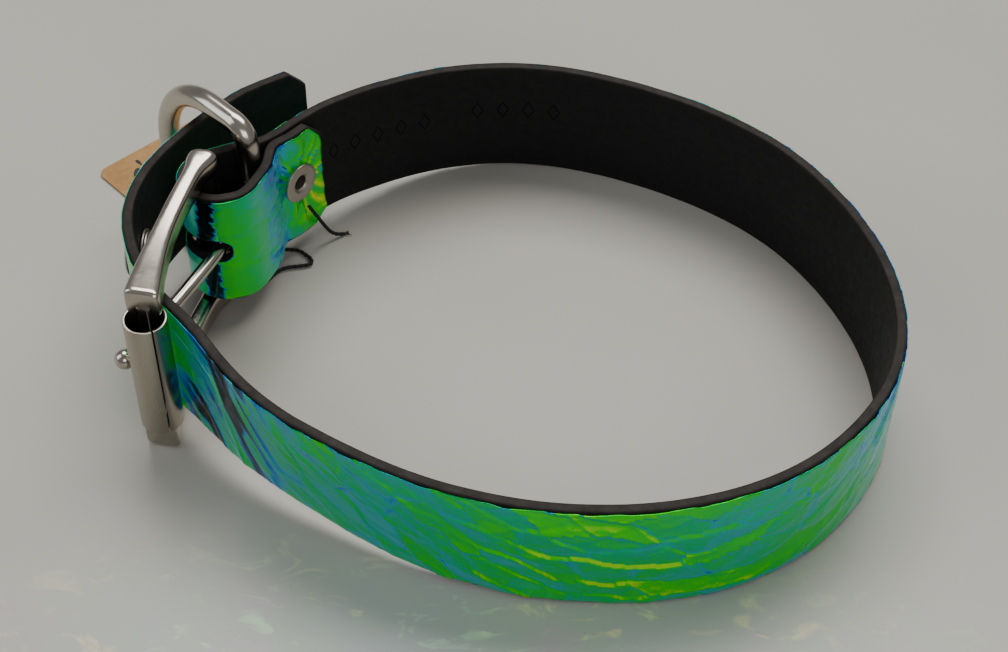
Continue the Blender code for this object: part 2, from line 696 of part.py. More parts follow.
def make_eyelets(path, parts, places, finish, washer_finish):
    bore = EYELET_BORE_DIAMETER / 2
    barrel = bore + EYELET_WALL
    flange = EYELET_FLANGE_DIAMETER / 2
    top = FILM_OUT + TOUCH_GAP
    washer_top = -LEATHER_FACE - EYELET_SEAT_GAP
    washer_low = washer_top - 0.3 * MM
    lip_top = washer_low - TOUCH_GAP
    lip_low = lip_top - 0.3 * MM
    washer_bore = barrel + TOUCH_GAP
    for i, s in enumerate(places):
        place = path.frame(s, STRAP_WIDTH / 2)
        eyelet = turned(f"eyelet_{i + 1}", [
            (flange - 0.2 * MM, top + 0.3 * MM), (flange, top), (barrel, top),
            (barrel, lip_top), (barrel + 0.8 * MM, lip_top), (barrel + 0.7 * MM, lip_low),
            (bore, lip_low), (bore, top + 0.3 * MM)], parts, finish)
        eyelet.matrix_world = place
        washer = turned(f"eyelet_washer_{i + 1}", [
            (flange, washer_top), (flange, washer_low), (washer_bore, washer_low),
            (washer_bore, washer_top)], parts, washer_finish)
        washer.matrix_world = place


# ---------------------------------------------------------------- tag and string

def make_tag(parts, finish):
    corner = TAG_CORNER_RADIUS
    outline = []
    for cx, cy, start in ((corner, corner, -180), (TAG_LENGTH - corner, corner, -90),
                          (TAG_LENGTH - corner, TAG_WIDTH - corner, 0),
                          (corner, TAG_WIDTH - corner, 90)):
        outline.extend(arc_points((cx, cy), corner, math.radians(start),
                                  math.radians(start + 90), 0.8 * MM))
    hole = arc_points((TAG_LENGTH - TAG_HOLE_INSET, TAG_WIDTH / 2), TAG_HOLE_DIAMETER / 2,
                      0, 2 * math.pi, 0.6 * MM)[:-1]
    tag = plate("hang_tag", [outline, hole], TAG_CARD, parts, finish)
    tag.location = (*TAG_CORNER_AT, TAG_CARD / 2 + FLOOR_CLEARANCE)
    tag.rotation_euler = (0, 0, TAG_BEARING)


def make_string(name, route, parts, finish):
    dense = smooth_curve(millimetres(route), step=0.8 * MM)
    tube(name, [tuple(p) for p in dense], STRING_DIAMETER, parts, finish)


# ---------------------------------------------------------------- the collar

def main():
    clear_scene()
    parts = new_collection(NAME)
    cutters = new_collection("cutters")
    leather = material("leather", (0.012, 0.013, 0.014), 0.62)
    film = material("iridescent_vinyl", (0.0, 0.30, 0.20), 0.22, 0.6)
    nickel = material("nickel", (0.62, 0.58, 0.52), 0.18, 1.0)
    satin = material("satin_steel", (0.42, 0.38, 0.33), 0.42, 1.0)
    kraft = material("kraft_card", (0.42, 0.22, 0.09), 0.8)
    thread = material("black_string", (0.01, 0.01, 0.012), 0.75)

    path = StrapPath()
    first = path.crossing(prong_line(), path.pass_s + 3 * MM) + PRONG_SLACK
    eyelet_places = [first + i * EYELET_PITCH for i in range(EYELET_COUNT)]

    strap = make_strap(path, parts, leather)
    facing = make_facing(path, parts, film)
    cut_round_holes(path, strap, facing, cutters, eyelet_places)
    cut_prong_slot(strap, facing, cutters)

    make_frame(parts, cutters, nickel)
    make_roller(parts, nickel)
    make_prong(parts, nickel)
    make_ring(parts, nickel)
    make_rivet(path, parts, satin)
    make_eyelets(path, parts, eyelet_places, satin, satin)
    make_tag(parts, kraft)
    make_string("tag_string", STRING_ROUTE, parts, thread)
    make_string("string_end", STRING_END_ROUTE, parts, thread)


main()
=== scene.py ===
"""Leather buckle collar with a crinkled iridescent facing: the visual model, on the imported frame.

Lengths are metres in the row's frame: +Z is up, the front of the loop is at -Y, and the buckle
is at -X.
"""

from contextlib import contextmanager
import math

import bmesh
import bpy
import numpy as np
from mathutils import Matrix, Vector

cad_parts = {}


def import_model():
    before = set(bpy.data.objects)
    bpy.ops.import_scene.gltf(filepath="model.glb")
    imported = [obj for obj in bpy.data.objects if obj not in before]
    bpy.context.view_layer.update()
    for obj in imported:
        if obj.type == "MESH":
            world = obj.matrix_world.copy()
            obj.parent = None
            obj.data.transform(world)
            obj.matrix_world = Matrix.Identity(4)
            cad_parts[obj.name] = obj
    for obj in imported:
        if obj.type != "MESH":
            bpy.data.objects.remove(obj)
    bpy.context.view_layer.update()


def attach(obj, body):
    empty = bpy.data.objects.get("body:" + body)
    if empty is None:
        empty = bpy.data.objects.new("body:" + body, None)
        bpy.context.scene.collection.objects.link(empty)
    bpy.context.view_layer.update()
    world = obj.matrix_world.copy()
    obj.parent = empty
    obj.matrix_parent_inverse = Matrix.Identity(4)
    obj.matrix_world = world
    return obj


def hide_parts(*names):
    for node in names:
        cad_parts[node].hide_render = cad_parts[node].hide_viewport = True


MM = 0.001

# ---------------- sizes

LOOP_WIDTH = 126.5 * MM
LOOP_DEPTH = 108.3 * MM
LOOP_LEFT = -59.3 * MM
LOOP_FRONT = -54.2 * MM
STRAP_WIDTH = 25.0 * MM
LEATHER = 1.6 * MM
FILM = 0.2 * MM
FILM_INSET = 0.4 * MM
END_CHAMFER = 3.4 * MM
TOUCH_GAP = 0.25 * MM
FRONT_LEAN = math.radians(7.0)
LEAN_RISE = 32.0 * MM
LEAN_FALL = 80.0 * MM
PASS_ANGLE = math.radians(44.6)
PASS_GAP = 0.35 * MM
FOLD_CENTRE = Vector((-52.8 * MM, 15.3 * MM))
FOLD_RADIUS = 6.25 * MM
FOLD_START = math.radians(-50.0)
FOLD_END = math.radians(-250.0)
LAYER_PITCH = LEATHER + 0.3 * MM
RIVET_FROM_FOLD = 15.0 * MM
TAB_BEYOND_RIVET = 7.5 * MM
RIVET_HEIGHT = STRAP_WIDTH / 2 + 1.0 * MM
RIVET_HOLE_RADIUS = 2.4 * MM
HEEL_BAR_AT = Vector((-54.6 * MM, 14.3 * MM))
HEEL_BAR_DIAMETER = 4.0 * MM
FRONT_BAR_AT = Vector((-60.5 * MM, -19.9 * MM))
FRONT_BAR_DIAMETER = 3.4 * MM
ARM_HEIGHT = 5.6 * MM
ARM_FRONT_WIDTH = 6.2 * MM
ARM_WAIST_WIDTH = 3.6 * MM
ARM_BOW = 1.7 * MM
FRAME_OPENING = STRAP_WIDTH + 0.8 * MM
ROLLER_RADIUS = 3.75 * MM
ROLLER_WALL = 0.5 * MM
ROLLER_HANG = 1.3 * MM
PRONG_WIRE = 2.5 * MM
PRONG_BULB = 3.6 * MM
PRONG_SLACK = 0.4 * MM
RING_BAR_AT = Vector((-47.9 * MM, 20.9 * MM))
RING_WIRE = 4.2 * MM
RING_DEPTH = 25.5 * MM
RING_LEGS = 9.5 * MM
RING_BEARING = math.radians(135.0)
RING_HALF = 17.1 * MM
RING_LIFT = 0.1 * MM
EYELET_PITCH = 19.0 * MM
EYELET_COUNT = 3
EYELET_HOLE_RADIUS = 3.6 * MM
TAG_CORNER_AT = Vector((-84.6 * MM, 49.5 * MM))
TAG_BEARING = math.radians(-46.0)
TAG_LENGTH = 30.0 * MM
TAG_WIDTH = 25.0 * MM
STRING_DIAMETER = 0.8 * MM
STRING_LAY = 2.2 * MM
GLINTS_AT = 288.0 * MM
GLINTS_REACH = 26.0 * MM
CAMERA_AT = Vector((-0.0010, -0.2341, 0.2524))
CAMERA_PITCH = math.radians(46.2)
CAMERA_ROLL = math.radians(0.77)
CAMERA_LENS = 66.07

LEVEL_TO_X = HEEL_BAR_AT.x + 4.0 * MM
LIFT_RUN = 72.0 * MM
STRAP_LIFT = ARM_HEIGHT + 0.4 * MM
BUCKLE_MID_Z = STRAP_LIFT + STRAP_WIDTH / 2
BAR_DIRECTION = (HEEL_BAR_AT - FRONT_BAR_AT).normalized()
ROLLER_AT = FRONT_BAR_AT - BAR_DIRECTION * ROLLER_HANG
LEATHER_FACE = LEATHER / 2
FILM_IN = LEATHER_FACE + TOUCH_GAP
FILM_OUT = FILM_IN + FILM

LOOP_SHAPE = (
    (0.252, 0.910), (0.403, 0.992), (0.534, 1.000), (0.659, 0.958), (0.779, 0.883),
    (0.876, 0.785), (0.942, 0.670), (0.985, 0.542), (1.000, 0.411), (0.982, 0.287),
    (0.929, 0.176), (0.847, 0.084), (0.742, 0.024), (0.622, 0.000), (0.505, 0.006),
    (0.401, 0.034), (0.307, 0.080), (0.215, 0.144), (0.112, 0.229),
)
BEHIND_TAB = ((-50.4, 23.2), (-46.8, 25.1), (-40.8, 31.9), (-36.2, 37.3))
POCKET = ((-46.2, 15.0), (-44.6, 20.4))
TAIL = ((-63.3, -8.2), (-67.3, 4.9), (-65.5, 17.2), (-60.3, 27.0), (-51.2, 38.3), (-40.6, 47.9))
STRING_ROUTE = (
    (-45.3, 24.0, 3.3), (-44.4, 25.6, 2.2), (-43.0, 27.0, 0.9), (-41.3, 27.0, 0.6),
    (-39.9, 25.9, 0.6), (-38.8, 24.7, 0.6), (-38.7, 23.6, 0.6), (-39.8, 23.0, 0.6),
    (-41.9, 22.6, 0.6), (-43.9, 22.0, 0.6), (-45.6, 20.4, 0.6), (-47.2, 18.2, 0.6),
    (-49.2, 17.4, 0.6), (-51.0, 18.6, 0.6), (-53.0, 20.3, 0.6), (-56.2, 21.6, 0.6),
    (-59.6, 23.4, 0.6), (-62.4, 26.4, 0.7), (-64.2, 30.2, 1.1), (-64.0, 34.4, 1.1),
    (-61.8, 38.0, 1.1), (-59.4, 39.7, 1.0), (-57.9, 39.9, 0.6),
)
STRING_END_ROUTE = (
    (-38.6, 27.1, 12.4), (-38.0, 27.8, 10.4), (-37.3, 28.6, 8.2), (-36.6, 29.4, 5.9),
    (-35.8, 30.2, 3.6), (-34.9, 30.9, 1.9), (-33.8, 31.6, 0.9), (-32.8, 32.2, 0.5),
)

# Colour phase of the facing along the strap, in millimetres from the tab's end: 0 is black,
# then blue, teal, green, yellow, orange, and 1 is red.
PHASE_ALONG = (
    (0, 0.68), (5, 0.67), (9, 0.56), (11.5, 0.38), (15, 0.33), (19, 0.36), (23, 0.46),
    (27, 0.54), (30.2, 0.63), (31.9, 0.59), (32.0, 0.05), (34.6, 0.02), (34.7, 0.50),
    (38, 0.42), (42, 0.50), (50, 0.55), (90, 0.44), (160, 0.50), (212, 0.30), (228, 0.36),
    (250, 0.46), (285, 0.60),
    # Painted light: the rise to 0.57 and 0.64 at 373 and 384 mm lifts the colour where the roller
    # shades the strap.
    (305, 0.56), (330, 0.48), (350, 0.46), (362, 0.42), (368, 0.38), (373, 0.57), (384, 0.64),
    (400, 0.45), (455, 0.40),
)

# Direction of the facing's creases along the strap, in degrees up towards the buckle.
CREASE_ALONG = (
    (0, 0), (60, 20), (120, -15), (190, -25), (215, -38), (240, -30), (268, -8), (295, 10),
    (318, 32), (345, 48), (365, 66), (385, 20), (455, -10),
)


# ---------------- plane curves

def smooth_curve(points, start_dir=None, end_dir=None, step=0.5 * MM):
    """Dense points on a cubic spline through points, even in curvature, by chord length."""
    knots = np.array([tuple(p) for p in points], dtype=float)
    count, size = knots.shape
    chord = np.linalg.norm(np.diff(knots, axis=0), axis=1)
    rise = np.diff(knots, axis=0) / chord[:, None]
    matrix = np.zeros((count, count))
    right = np.zeros((count, size))
    for i in range(1, count - 1):
        matrix[i, i - 1] = 1 / chord[i - 1]
        matrix[i, i] = 2 * (1 / chord[i - 1] + 1 / chord[i])
        matrix[i, i + 1] = 1 / chord[i]
        right[i] = 3 * (rise[i - 1] / chord[i - 1] + rise[i] / chord[i])
    for row, neighbour, direction, slope in ((0, 1, start_dir, rise[0]),
                                             (-1, -2, end_dir, rise[-1])):
        if direction is None:
            matrix[row, row] = 2
            matrix[row, neighbour] = 1
            right[row] = 3 * slope
        else:
            matrix[row, row] = 1
            right[row] = tuple(direction)
    slopes = np.linalg.solve(matrix, right)
    dense = [knots[:1]]
    for i in range(count - 1):
        parts = max(2, math.ceil(chord[i] / step))
        t = np.linspace(0, 1, parts + 1)[1:, None]
        dense.append(
            (2 * t ** 3 - 3 * t ** 2 + 1) * knots[i]
            + (t ** 3 - 2 * t ** 2 + t) * chord[i] * slopes[i]
            + (3 * t ** 2 - 2 * t ** 3) * knots[i + 1]
            + (t ** 3 - t ** 2) * chord[i] * slopes[i + 1])
    return np.concatenate(dense)


def arc_points(centre, radius, start, end, step=0.5 * MM):
    parts = max(4, math.ceil(abs(end - start) * radius / step))
    angles = np.linspace(start, end, parts + 1)
    return np.stack([centre[0] + radius * np.cos(angles),
                     centre[1] + radius * np.sin(angles)], axis=1)


def lengths_along(points):
    steps = np.linalg.norm(np.diff(points, axis=0), axis=1)
    return np.concatenate([[0.0], np.cumsum(steps)])


def at_length(s, lengths, points):
    """Places on a plane curve at arc length s."""
    return np.stack([np.interp(s, lengths, points[:, k]) for k in (0, 1)], axis=-1)


def millimetres(points):
    return [tuple(value * MM for value in point) for point in points]


class StrapPath:
    """The strap's middle line seen from above, from the tab's end to the tail's tip."""

    def __init__(self):
        inward = Vector((math.cos(PASS_ANGLE), math.sin(PASS_ANGLE)))
        passing = ROLLER_AT + inward * (ROLLER_RADIUS + PASS_GAP + FILM_OUT)
        pass_dir = Vector((-inward.y, inward.x))
        fold = arc_points(FOLD_CENTRE, FOLD_RADIUS, FOLD_START, FOLD_END)
        loop_knots = [(LOOP_LEFT + u * LOOP_WIDTH, LOOP_FRONT + v * LOOP_DEPTH)
                      for u, v in LOOP_SHAPE]
        loop = smooth_curve([fold[-1], *millimetres(BEHIND_TAB), *loop_knots, passing],
                            (math.sin(FOLD_END), -math.cos(FOLD_END)), pass_dir)
        tail = smooth_curve([passing, *millimetres(TAIL)], pass_dir)
        loop_s = lengths_along(loop)
        laid = []
        for s in np.linspace(RIVET_FROM_FOLD + TAB_BEYOND_RIVET, RIVET_FROM_FOLD - 4 * MM, 5):
            at = at_length(s, loop_s, loop)
            along = at_length(s + MM, loop_s, loop) - at
            along /= np.linalg.norm(along)
            laid.append(at + LAYER_PITCH * np.array([along[1], -along[0]]))
        tab = smooth_curve([*laid, *reversed(millimetres(POCKET)), fold[0]], None,
                           (math.sin(FOLD_START), -math.cos(FOLD_START)))
        self.points = np.concatenate([tab, fold[1:], loop[1:], tail[1:]])
        self.s = lengths_along(self.points)
        self.length = self.s[-1]
        self.fold_start = lengths_along(tab)[-1]
        self.fold_end = self.fold_start + lengths_along(fold)[-1]
        self.pass_s = self.fold_end + loop_s[-1]
        self.rivet_s = self.fold_end + RIVET_FROM_FOLD
        tangent = np.gradient(self.points, self.s, axis=0)
        self.tangent = tangent / np.linalg.norm(tangent, axis=1)[:, None]

    def many(self, s):
        """Places and outward directions at several arc lengths."""
        place = at_length(s, self.s, self.points)
        along = at_length(s, self.s, self.tangent)
        along /= np.linalg.norm(along, axis=-1, keepdims=True)
        return place, np.stack([-along[..., 1], along[..., 0]], axis=-1)

    def crossing(self, other, start):
        """Arc length beyond start where the strap is nearest to another line."""
        mask = self.s > start
        gaps = np.linalg.norm(self.points[mask][:, None] - other[None], axis=2).min(axis=1)
        return self.s[mask][np.argmin(gaps)]

    def frame(self, s, height):
        """Matrix at arc length s: local Z outward, local X along the strap, local Y down."""
        place, out = self.many(np.array(s))
        axis_z = Vector((out[0], out[1], 0))
        axis_x = Vector((out[1], -out[0], 0))
        matrix = Matrix((axis_x, axis_z.cross(axis_x), axis_z)).transposed().to_4x4()
        matrix.translation = (*place, strap_bottom(place[0]) + height)
        return matrix


def strap_bottom(x):
    """Height of the lower edge: raised at the buckle, on the table beyond LIFT_RUN."""
    share = 1 - (x - LEVEL_TO_X) / LIFT_RUN
    return STRAP_LIFT * np.clip(share, 0.0, 1.0) ** 2


def front_lean(path, s):
    """Outward lean of the strap's top where it comes to the roller."""
    before = path.pass_s - s
    rise = np.clip(before / LEAN_RISE, 0, 1)
    fall = np.clip(1 - (before - LEAN_RISE) / LEAN_FALL, 0, 1)
    return FRONT_LEAN * np.sin(rise * math.pi / 2) ** 2 * fall ** 1.5


# ---------------- seeded noise

LATTICE = np.random.default_rng(29).random((256, 256))


def noise2(u, v, seed=0):
    """Smooth noise from 0 to 1 over the plane."""
    u = np.asarray(u) + seed * 17.31
    v = np.asarray(v) + seed * 7.77
    iu = np.floor(u).astype(int)
    iv = np.floor(v).astype(int)
    fu = u - iu
    fv = v - iv
    fu = fu * fu * fu * (fu * (fu * 6 - 15) + 10)
    fv = fv * fv * fv * (fv * (fv * 6 - 15) + 10)
    corners = [LATTICE[(iu + a) % 256, (iv + b) % 256] for a in (0, 1) for b in (0, 1)]
    low = corners[0] * (1 - fv) + corners[1] * fv
    high = corners[2] * (1 - fv) + corners[3] * fv
    return low * (1 - fu) + high * fu


def crease_plane(s, h):
    """Lengths along and across the creases, whose direction turns along the strap."""
    step = 0.5 * MM
    fine = np.arange(0, CREASE_ALONG[-1][0] * MM + 5 * MM, step)
    angle = np.radians(np.interp(fine / MM, *zip(*CREASE_ALONG)))
    run = np.interp(s, fine, np.cumsum(np.cos(angle)) * step)
    drop = np.interp(s, fine, np.cumsum(np.sin(angle)) * step)
    here = np.interp(s, fine, angle)
    return run + h * np.sin(here), h * np.cos(here) - drop


def cells(plane, turn, long, short, wander):
    """The crease plane in cells of long by short, turned from the crease direction."""
    along, across = plane
    u = (along * math.cos(turn) + across * math.sin(turn)) / long
    v = (across * math.cos(turn) - along * math.sin(turn) + wander) / short
    return u, v


def creases(plane, turn, long, short, seed):
    """Ridged noise with sharp crests."""
    wander = 2.6 * MM * (noise2(plane[0] / (8 * MM), plane[1] / (6 * MM), seed + 3) - 0.5)
    u, v = cells(plane, turn, long, short, wander)
    return (1 - np.abs(2 * noise2(u, v, seed) - 1)) ** 2.2


def facets(plane, turn, long, short, seed):
    """Crumpled facets: the tilt of each along and up, and 1 on the creases between them."""
    wander = 1.8 * MM * (noise2(plane[0] / (6 * MM), plane[1] / (5 * MM), seed + 5) - 0.5)
    u, v = cells(plane, turn, long, short, wander)
    iu = np.floor(u).astype(int)
    iv = np.floor(v).astype(int)
    best = np.full(u.shape, 9.0)
    second = np.full(u.shape, 9.0)
    tilt = np.zeros(u.shape)
    reach = np.zeros(u.shape)
    for a in (-1, 0, 1):
        for b in (-1, 0, 1):
            cu = iu + a
            cv = iv + b
            fu = cu + LATTICE[(cu * 3 + seed) % 256, (cv * 5) % 256] - u
            fv = cv + LATTICE[(cu * 5) % 256, (cv * 3 + seed) % 256] - v
            far = np.hypot(fu, fv)
            own = LATTICE[(cu * 7 + seed) % 256, (cv * 11) % 256] * 2 - 1
            nearer = far < best
            second = np.where(nearer, best, np.minimum(second, far))
            tilt = np.where(nearer, own, tilt)
            reach = np.where(nearer, fv, reach)
            best = np.where(nearer, far, best)
    line = np.exp(-((second - best) / 0.09) ** 2)
    return tilt, tilt * reach * short, line


# ---------------- shading

class Shader:
    """A Principled material and short ways to add nodes to it."""

    def __init__(self, name, **constants):
        self.material = bpy.data.materials.new(name)
        self.material.use_nodes = True
        self.tree = self.material.node_tree
        self.surface = self.tree.nodes["Principled BSDF"]
        self.put(self.surface, constants)

    def put(self, node, values):
        for name, value in values.items():
            name = name.replace("_", " ") if isinstance(name, str) else name
            socket = node.inputs[name]
            if isinstance(value, bpy.types.NodeSocket):
                self.tree.links.new(value, socket)
            else:
                socket.default_value = value

    def node(self, kind, values=None, **settings):
        node = self.tree.nodes.new("ShaderNode" + kind)
        for name, value in settings.items():
            setattr(node, name, value)
        self.put(node, values or {})
        return node

    def math(self, operation, a, b=0.0, clamp=False):
        return self.node("Math", {0: a, 1: b}, operation=operation, use_clamp=clamp).outputs[0]

    def attribute(self, name):
        return self.node("Attribute", attribute_name=name)

    def place(self, scale=(1, 1, 1)):
        coordinates = self.node("TexCoord").outputs["Object"]
        return self.node("Mapping", {"Vector": coordinates, "Scale": scale}).outputs[0]

    def noise(self, scale, detail=4.0, roughness=0.55, vector=None, distortion=0.0):
        made = self.node("TexNoise", {"Scale": scale, "Detail": detail, "Roughness": roughness,
                                      "Distortion": distortion,
                                      "Vector": vector if vector else self.place()})
        return made.outputs["Fac"]

    def ramp(self, value, *stops):
        node = self.node("ValToRGB", {"Fac": value})
        ramp = node.color_ramp
        while len(ramp.elements) < len(stops):
            ramp.elements.new(0.5)
        for element, (at, colour) in zip(ramp.elements, stops):
            element.position = at
            element.color = (*colour, 1.0)
        return node.outputs["Color"]

    def levels(self, value, *stops):
        return self.ramp(value, *((at, (level,) * 3) for at, level in stops))

    def mix(self, share, first, second):
        return self.node("Mix", {0: share, 6: first, 7: second}, data_type="RGBA").outputs[2]

    def bump(self, height, strength, distance, normal=None):
        values = {"Height": height, "Strength": strength, "Distance": distance}
        if normal is not None:
            values["Normal"] = normal
        return self.node("Bump", values).outputs["Normal"]

    def set(self, **values):
        self.put(self.surface, values)
        return self.material


def facing_material():
    """Iridescent film: the colour follows the stored phase and the slope of each crease, which
    carry painted reflection and shade; it also glows faintly in its own colour, as painted light.
    """
    # Painted light: Emission_Strength makes the film glow in its own ramp colour.
    shader = Shader("iridescent_vinyl", Metallic=0.75, Roughness=0.22, Coat_Weight=0.18,
                    Coat_Roughness=0.06, Specular_IOR_Level=0.3, Emission_Strength=0.26)
    phase = shader.attribute("phase").outputs["Fac"]
    fine = shader.noise(900, 3, 0.6, shader.place((1, 1, 0.35)), 0.6)
    mottle = shader.math("MULTIPLY", shader.math("SUBTRACT", fine, 0.5), 0.10)
    colour = shader.ramp(
        shader.math("ADD", phase, mottle),
        (0.00, (0.0, 0.004, 0.004)), (0.10, (0.0, 0.03, 0.035)), (0.24, (0.0, 0.10, 0.42)),
        (0.37, (0.0, 0.28, 0.34)), (0.48, (0.0, 0.34, 0.14)), (0.57, (0.0, 0.38, 0.03)),
        (0.70, (0.01, 0.46, 0.0)), (0.82, (0.26, 0.54, 0.0)), (0.90, (0.62, 0.60, 0.0)),
        (0.96, (0.85, 0.30, 0.0)), (1.00, (0.50, 0.04, 0.02)))
    soft = shader.noise(2600, 2, 0.5)
    normal = shader.bump(soft, 0.12, 0.05 * MM)
    rough = shader.levels(shader.noise(160, 3), (0.3, 0.14), (0.75, 0.30))
    return shader.set(Base_Color=colour, Emission_Color=colour, Normal=normal, Roughness=rough)


def leather_material():
    """Matt black flesh side, grey-brown burnished edges."""
    shader = Shader("leather", Specular_IOR_Level=0.22)
    edge = shader.attribute("edge").outputs["Fac"]
    streak = shader.noise(240, 6, 0.65, shader.place((1, 1, 4)))
    face = shader.ramp(streak, (0.25, (0.0030, 0.0034, 0.0038)), (0.8, (0.0068, 0.0075, 0.0080)))
    worn = shader.ramp(streak, (0.25, (0.006, 0.005, 0.0045)), (0.60, (0.019, 0.015, 0.0125)),
                       (0.85, (0.042, 0.034, 0.027)))
    grain = shader.node("TexVoronoi", {"Scale": 1500, "Vector": shader.place()},
                        feature="DISTANCE_TO_EDGE").outputs["Distance"]
    fibres = shader.noise(700, 6, 0.7)
    normal = shader.bump(fibres, 0.5, 0.12 * MM, shader.bump(grain, 0.25, 0.08 * MM))
    rough = shader.levels(fibres, (0.3, 0.55), (0.8, 0.80))
    return shader.set(Base_Color=shader.mix(edge, face, worn), Normal=normal, Roughness=rough)


def metal_material(name, colour, dark, roughness, streak=(1, 1, 1), bump=0.05):
    shader = Shader(name, Metallic=1.0)
    cloud = shader.noise(130, 5, 0.6, shader.place(streak))
    tone = shader.ramp(cloud, (0.25, dark), (0.75, colour))
    fine = shader.noise(1800, 3, 0.6, shader.place(streak))
    rough = shader.levels(cloud, (0.3, roughness * 0.7), (0.75, roughness * 1.35))
    return shader.set(Base_Color=tone, Roughness=rough, Normal=shader.bump(fine, bump, 0.03 * MM))


def kraft_material():
    shader = Shader("kraft_card", Roughness=0.85, Specular_IOR_Level=0.2)
    fibre = shader.noise(900, 8, 0.75, shader.place((1, 0.35, 1)), 1.2)
    cloud = shader.noise(90, 4)
    colour = shader.ramp(
        shader.math("MULTIPLY", shader.math("ADD", fibre, cloud), 0.5),
        (0.3, (0.24, 0.125, 0.045)), (0.5, (0.37, 0.205, 0.085)), (0.72, (0.46, 0.27, 0.12)))
    return shader.set(Base_Color=colour, Normal=shader.bump(fibre, 0.3, 0.08 * MM))


def dark_material(name, low, high, roughness, shine=0.3):
    shader = Shader(name, Roughness=roughness, Specular_IOR_Level=shine)
    fine = shader.noise(1500, 4, 0.7)
    return shader.set(Base_Color=shader.ramp(fine, (0.3, low), (0.75, high)),
                      Normal=shader.bump(fine, 0.4, 0.05 * MM))


def table_material():
    """Pale warm grey table top, with the faint tinted light that the facing throws on it."""
    shader = Shader("table", Roughness=0.42, Specular_IOR_Level=0.35)
    base = shader.ramp(shader.noise(6, 3), (0.3, (0.36, 0.34, 0.305)), (0.7, (0.41, 0.395, 0.355)))
    speck = shader.levels(shader.noise(260, 2, 0.5), (0.775, 0), (0.80, 1))
    base = shader.mix(shader.math("MULTIPLY", speck, 0.25), base, (0.17, 0.16, 0.14, 1))
    away = shader.node("VectorMath", {0: shader.node("TexCoord").outputs["Object"],
                                      1: (-0.010, -0.084, 0.0)}, operation="SUBTRACT").outputs[0]
    apart = shader.node("Mapping", {"Vector": away, "Scale": (8.5, 21.0, 0.0)}).outputs[0]
    reach = shader.node("VectorMath", {0: apart}, operation="LENGTH").outputs["Value"]
    near = shader.math("SUBTRACT", 1.0, reach, True)
    haze = shader.ramp(shader.noise(30, 3), (0.38, (0.34, 0.40, 0.43)),
                       (0.5, (0.33, 0.44, 0.36)), (0.62, (0.44, 0.37, 0.44)))
    base = shader.mix(shader.math("MULTIPLY", near, 0.9, True), base, haze)
    spots = shader.noise(120, 4, 0.6, shader.place((0.8, 1.5, 1)), 1.6)
    glow = shader.levels(spots, (0.55, 0), (0.70, 1))
    tint = shader.ramp(shader.noise(40, 2), (0.38, (0.45, 0.78, 0.52)),
                       (0.5, (0.78, 0.86, 0.36)), (0.62, (0.86, 0.66, 0.36)))
    share = shader.math("MULTIPLY", shader.math("MULTIPLY", near, 1.5, True), glow)
    return shader.set(Base_Color=shader.mix(shader.math("MULTIPLY", share, 0.85), base, tint))


# ---------------- objects

def add_object(name, data):
    item = bpy.data.objects.new(name, data)
    bpy.context.scene.collection.objects.link(item)
    return item


@contextmanager
def editing(item):
    edit = bmesh.new()
    edit.from_mesh(item.data)
    yield edit
    edit.to_mesh(item.data)
    edit.free()


def evaluated_mesh(item):
    """The mesh that an object's curve or modifiers make."""
    bpy.context.view_layer.update()
    evaluated = item.evaluated_get(bpy.context.evaluated_depsgraph_get())
    return bpy.data.meshes.new_from_object(evaluated)


def add_mesh(name, verts, faces, finish, smooth=True):
    mesh = bpy.data.meshes.new(name)
    mesh.from_pydata([tuple(v) for v in verts], [], faces)
    mesh.validate()
    if smooth:
        mesh.shade_smooth()
    mesh.materials.append(finish)
    return add_object(name, mesh)


def grid_faces(rows, columns, wrap_rows=False, wrap_columns=False):
    faces = []
    for i in range(rows - (0 if wrap_rows else 1)):
        for j in range(columns - (0 if wrap_columns else 1)):
            a = i * columns + j
            b = i * columns + (j + 1) % columns
            c = ((i + 1) % rows) * columns + (j + 1) % columns
            d = ((i + 1) % rows) * columns + j
            faces.append((a, b, c, d))
    return faces


def add_skin(name, rings, finish, closed=False, sharp=50):
    """A skin over rings of equally many points, capped unless the rings close on themselves."""
    count = len(rings)
    sides = len(rings[0])
    faces = grid_faces(count, sides, closed, True)
    if not closed:
        faces.append(tuple(range(sides))[::-1])
        faces.append(tuple((count - 1) * sides + k for k in range(sides)))
    item = add_mesh(name, [p for ring in rings for p in ring], faces, finish)
    with editing(item) as edit:
        bmesh.ops.recalc_face_normals(edit, faces=edit.faces)
    item.data.set_sharp_from_angle(angle=math.radians(sharp))
    return item


def add_wire(name, points, radii, finish, sides=32, closed=False, twist=0.0):
    """A round wire along 3-D points; twist gives it the shape of two plied strands."""
    line = np.array(points, dtype=float)
    s = lengths_along(line)
    radii = np.full(len(line), radii) if np.isscalar(radii) else np.array(radii)
    if closed:
        tangent = np.roll(line, -1, axis=0) - np.roll(line, 1, axis=0)
    else:
        tangent = np.gradient(line, axis=0)
    tangent /= np.linalg.norm(tangent, axis=1)[:, None]
    side = np.cross(tangent[0], (0, 0, 1) if abs(tangent[0][2]) < 0.9 else (0, 1, 0))
    rings = []
    for i, (p, t) in enumerate(zip(line, tangent)):
        side = side - t * np.dot(side, t)
        side /= np.linalg.norm(side)
        other = np.cross(t, side)
        angle = np.linspace(0, 2 * math.pi, sides, endpoint=False)
        r = radii[i]
        if twist:
            r = r * (0.86 + 0.14 * np.cos(2 * (angle - 2 * math.pi * s[i] / twist)))
        rings.append(p + (r * np.cos(angle))[:, None] * side
                     + (r * np.sin(angle))[:, None] * other)
    return add_skin(name, rings, finish, closed)


